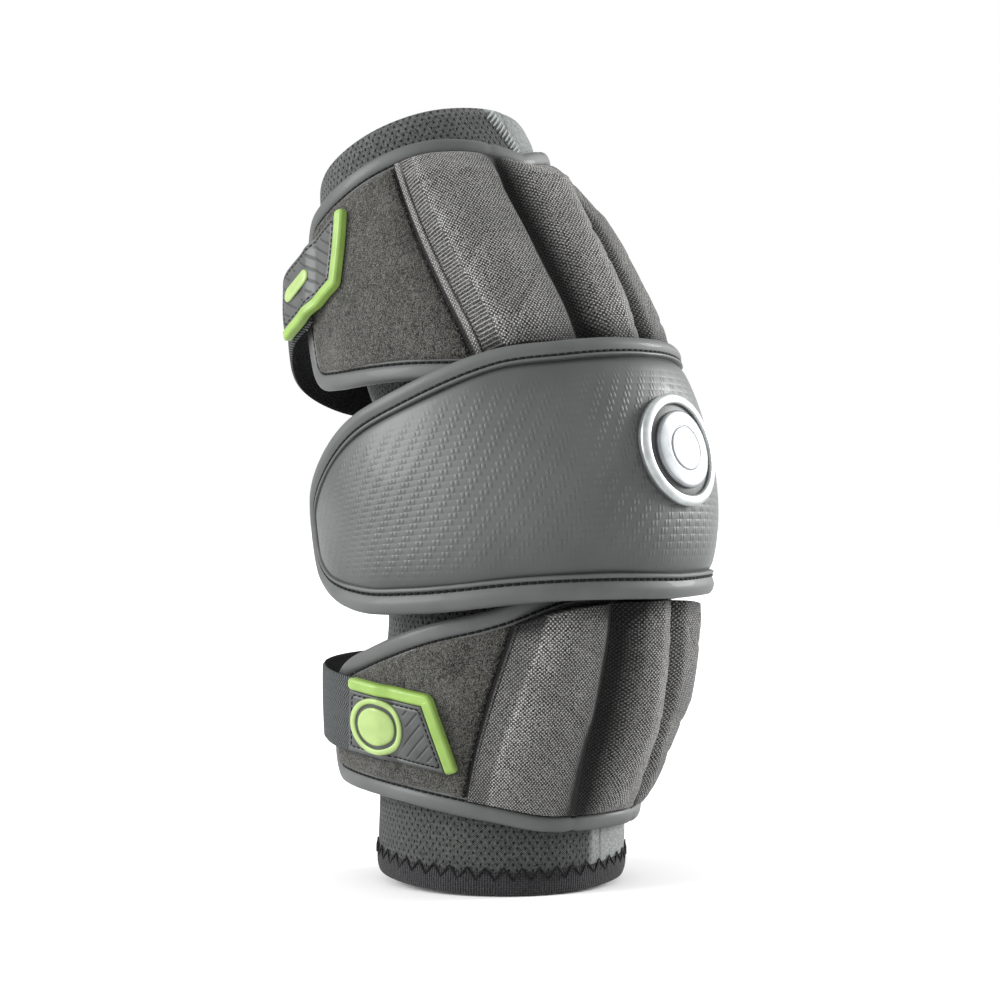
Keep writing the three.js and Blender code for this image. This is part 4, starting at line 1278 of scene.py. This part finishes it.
def build_tab(name, guard):
    """Rubber tab on the closing end of a strap, with its stitches, its rail and its plain mark."""
    tab = guard["tab"]
    axes = panel_axes(guard)
    first = guard["strap"]["angle"][0]

    def place(along, across):
        s = tab["s"] + tab["side"] * (along * math.sin(tab["turn"]) + across * math.cos(tab["turn"]))
        back = along * math.cos(tab["turn"]) - across * math.sin(tab["turn"])
        return s, tab["angle"] - back / (GUARD_SPREAD * RAD)

    def bed(angle):
        over_strap = strap_lift(guard, angle) + STRAP_WALL + 1.5 * LIE
        return lerp(ON_PATCH, over_strap, smooth(angle, first - TAB_STEP_DEG, first - 1))

    slope = math.atan2(TAB_WIDTH - TAB_TIP, TAB_SLANT)

    def slant_at(across, inside):
        return TAB_SHORT_SIDE + (across * math.cos(slope) - inside) / math.sin(slope)

    # Body with slanting grooves inside a sewn border
    columns, rows = TAB_GRID
    inset = RAIL_WIDTH + 0.25
    bend = slant_at(inset, inset)
    last = slant_at(TAB_WIDTH, inset) - 1
    u = np.linspace(0, 1, columns)
    along = np.where(u < 0.7, u / 0.7 * bend, lerp(bend, last, (u - 0.7) / 0.3))[:, None]
    near = inset + np.maximum(0, along - bend) * math.tan(slope)
    across = lerp(near, TAB_WIDTH, np.linspace(0, 1, rows)[None])
    along = along + 0 * across
    from_slant = ((slant_at(0, 0) - along) * math.sin(slope) + across * math.cos(slope)) - inset
    from_edge = np.minimum(np.minimum(along, TAB_WIDTH - across), np.minimum(across - inset, from_slant))
    mark_along, mark_across = tab["mark"]
    from_mark = np.hypot(along - mark_along, across - mark_across)
    free = smooth(from_mark, tab["mark_reach"], tab["mark_reach"] + 1)
    groove = np.abs(((along * 0.8 + across * 0.62) / GROOVE_PITCH) % 1 - 0.5) * GROOVE_PITCH
    groove = hump(groove, GROOVE_WIDTH) * smooth(from_edge, 2.8, 3.4) * free
    border = hump(from_edge - TAB_BORDER, 0.5)
    height = TAB_WALL * (0.6 + 0.4 * smooth(from_edge, -0.1, 0.9))
    height = height - GROOVE_DEPTH * groove - GROOVE_DEPTH * border
    s, angle = place(along, across)
    # The groove attribute also takes painted shade into the grooves
    clad(f"{name}_rubber_tab", "tab_rubber", f"{name}_tab", looks["tab"], axes, (s, angle),
         (bed(angle) + 0 * s, bed(angle) + height), (along, across), groove=groove)

    # Stitches round the border
    e = TAB_BORDER
    corners = [(e, inset + e), (slant_at(inset + e, inset + e), inset + e),
               (slant_at(TAB_WIDTH - e, inset + e), TAB_WIDTH - e), (e, TAB_WIDTH - e)]
    sides = []
    for (a0, c0), (a1, c1) in zip(corners, corners[1:] + corners[:1]):
        count = int(math.hypot(a1 - a0, c1 - c0) / 2.2)
        share = (np.arange(count) + 0.5) / count
        sides.append((lerp(a0, a1, share), lerp(c0, c1, share)))
    s, angle = place(*(np.concatenate(part) for part in zip(*sides)))
    placed = frames_on(axes, s, angle, True, bed(angle) + TAB_WALL - 0.25)
    finish_piece(threads(f"{name}_tab_stitches", placed, looks["dark_thread"], 1.7, 0.6), "tab_rubber")

    # Rail along the short side and the slanted end
    m = RAIL_WIDTH / 2
    h = RAIL_WALL
    corner = slant_at(m, m)
    t = np.concatenate([np.linspace(0, 0.9, 26), np.linspace(0.92, 1.08, 17), np.linspace(1.1, 2, 24)])
    across = lerp(m, TAB_WIDTH - 1.2, np.maximum(t - 1, 0))
    along = np.where(t < 1, 0.3 + (corner - 0.3) * np.minimum(t, 1), slant_at(across, m))
    soften = np.ones(5) / 5
    along[2:-2] = np.convolve(along, soften, "same")[2:-2]
    across[2:-2] = np.convolve(across, soften, "same")[2:-2]
    s, angle = place(along, across)
    placed = frames_on(axes, s, angle, False, bed(angle))
    half = [(m, 0), (m, 0.3), (m, h - 1.1), (m - 0.05, h - 0.8), (m - 0.75, h - 0.08), (m - 1.0, h),
            (m - 1.3, h)]
    profile = half + [(-x, y) for x, y in reversed(half)]
    ends = np.ones(len(t))
    ends[[0, -1]] = 0.8
    rail = sweep(f"{name}_rail", placed, profile, looks["lime"], False, ends)
    finish_piece(rail, "lime_rubber", f"{name}_tab_rail")

    # Plain mark: a ring round a disc on the lower tab, a bar on the upper one
    def spot(right, up):
        return place(mark_along + right, mark_across + up)

    low = TAB_WALL - 0.05
    high = low + 1.0
    ring = [(8.7, low), (8.8, low + 0.7), (9.2, high), (10.3, high), (10.8, low + 0.7), (11.0, low)]
    disc = [(0.05, low), (7.4, low), (7.3, low + 0.6), (6.9, low + 0.9)]
    disc += [(radius, high) for radius in (6.3, 5.2, 4.1, 3.0, 2.0, 1.0, 0.12, 0.04)]
    bar = [(0.02, low), (3.3, low), (3.2, low + 0.6), (2.8, low + 0.9), (1.5, high), (0.1, high),
           (0.02, high)]
    marks = {
        "upper": (("mark_bar", bar, 64, BAR_STRETCH, "mark"),),
        "lower": (("emblem_ring", ring, 72, 0, "emblem"), ("emblem_disc", disc, 72, 0, "emblem")),
    }
    for part, profile, steps, stretch, node in marks[name]:
        made = turned(f"{name}_{part}", spot, axes, profile, looks["pale_lime"], steps, bed, stretch)
        finish_piece(made, "lime_rubber", f"{name}_tab_{node}")


# Stage: pale floor, soft lights, and the photograph's camera

def build_stage():
    floor_look = Look("pale_floor", 0.9)
    floor_look.paint(floor_look.colour(floor_look.noise(300, 2), (0.82, 0.82, 0.82), (0.84, 0.84, 0.84)))
    corners = ((-1, -1), (1, -1), (1, 1), (-1, 1))
    points = np.array([(x * FLOOR_HALF, y * FLOOR_HALF, FLOOR_LEVEL) for x, y in corners])
    floor = make_mesh("floor", points, np.array([[0, 1, 2, 3]]), floor_look.material)

    world = bpy.data.worlds.new("studio")
    bpy.context.scene.world = world
    world.use_nodes = True
    world.node_tree.nodes["Background"].inputs[0].default_value = (1, 1, 1, 1)
    world.node_tree.nodes["Background"].inputs[1].default_value = 1.0

    azimuth = CAMERA_AZIMUTH_DEG * RAD
    right = Vector((math.cos(azimuth), math.sin(azimuth), 0))
    back = Vector((math.sin(azimuth), -math.cos(azimuth), 0))
    up = Vector((0, 0, 1))

    def add(name, data, towards):
        """Puts a light or camera in the scene, looking away from where it stands."""
        holder = bpy.data.objects.new(name, data)
        holder.rotation_mode = "QUATERNION"
        holder.rotation_quaternion = (-towards).to_track_quat("-Z", "Y")
        bpy.context.scene.collection.objects.link(holder)
        return holder

    for name, turn_deg, height_deg, spread_deg in LIGHTS:
        level = back * math.cos(turn_deg * RAD) + right * math.sin(turn_deg * RAD)
        light = bpy.data.lights.new(name, "SUN")
        light.energy = LIGHT_STRENGTH
        light.angle = spread_deg * RAD
        add(name, light, level * math.cos(height_deg * RAD) + up * math.sin(height_deg * RAD))

    camera = bpy.data.cameras.new("camera")
    camera.lens = CAMERA_LENS
    camera.sensor_width = 36
    camera.clip_start = 0.05
    camera.clip_end = 60
    holder = add("camera", camera, back)
    holder.location = back * CAMERA_DISTANCE + up * CAMERA_HEIGHT
    bpy.context.scene.camera = holder
    bpy.context.scene.view_settings.view_transform = "Standard"


build_stage()
build_sleeve()
build_hem()
build_cap()
build_badge()
for guard_name, guard in (("upper", UPPER), ("lower", LOWER)):
    build_panel(guard_name, guard)
    for number in (1, 2, 3):
        build_rib(guard_name, guard, number)
    build_patch(guard_name, guard)
    build_strap(guard_name, guard)
    build_tab(guard_name, guard)
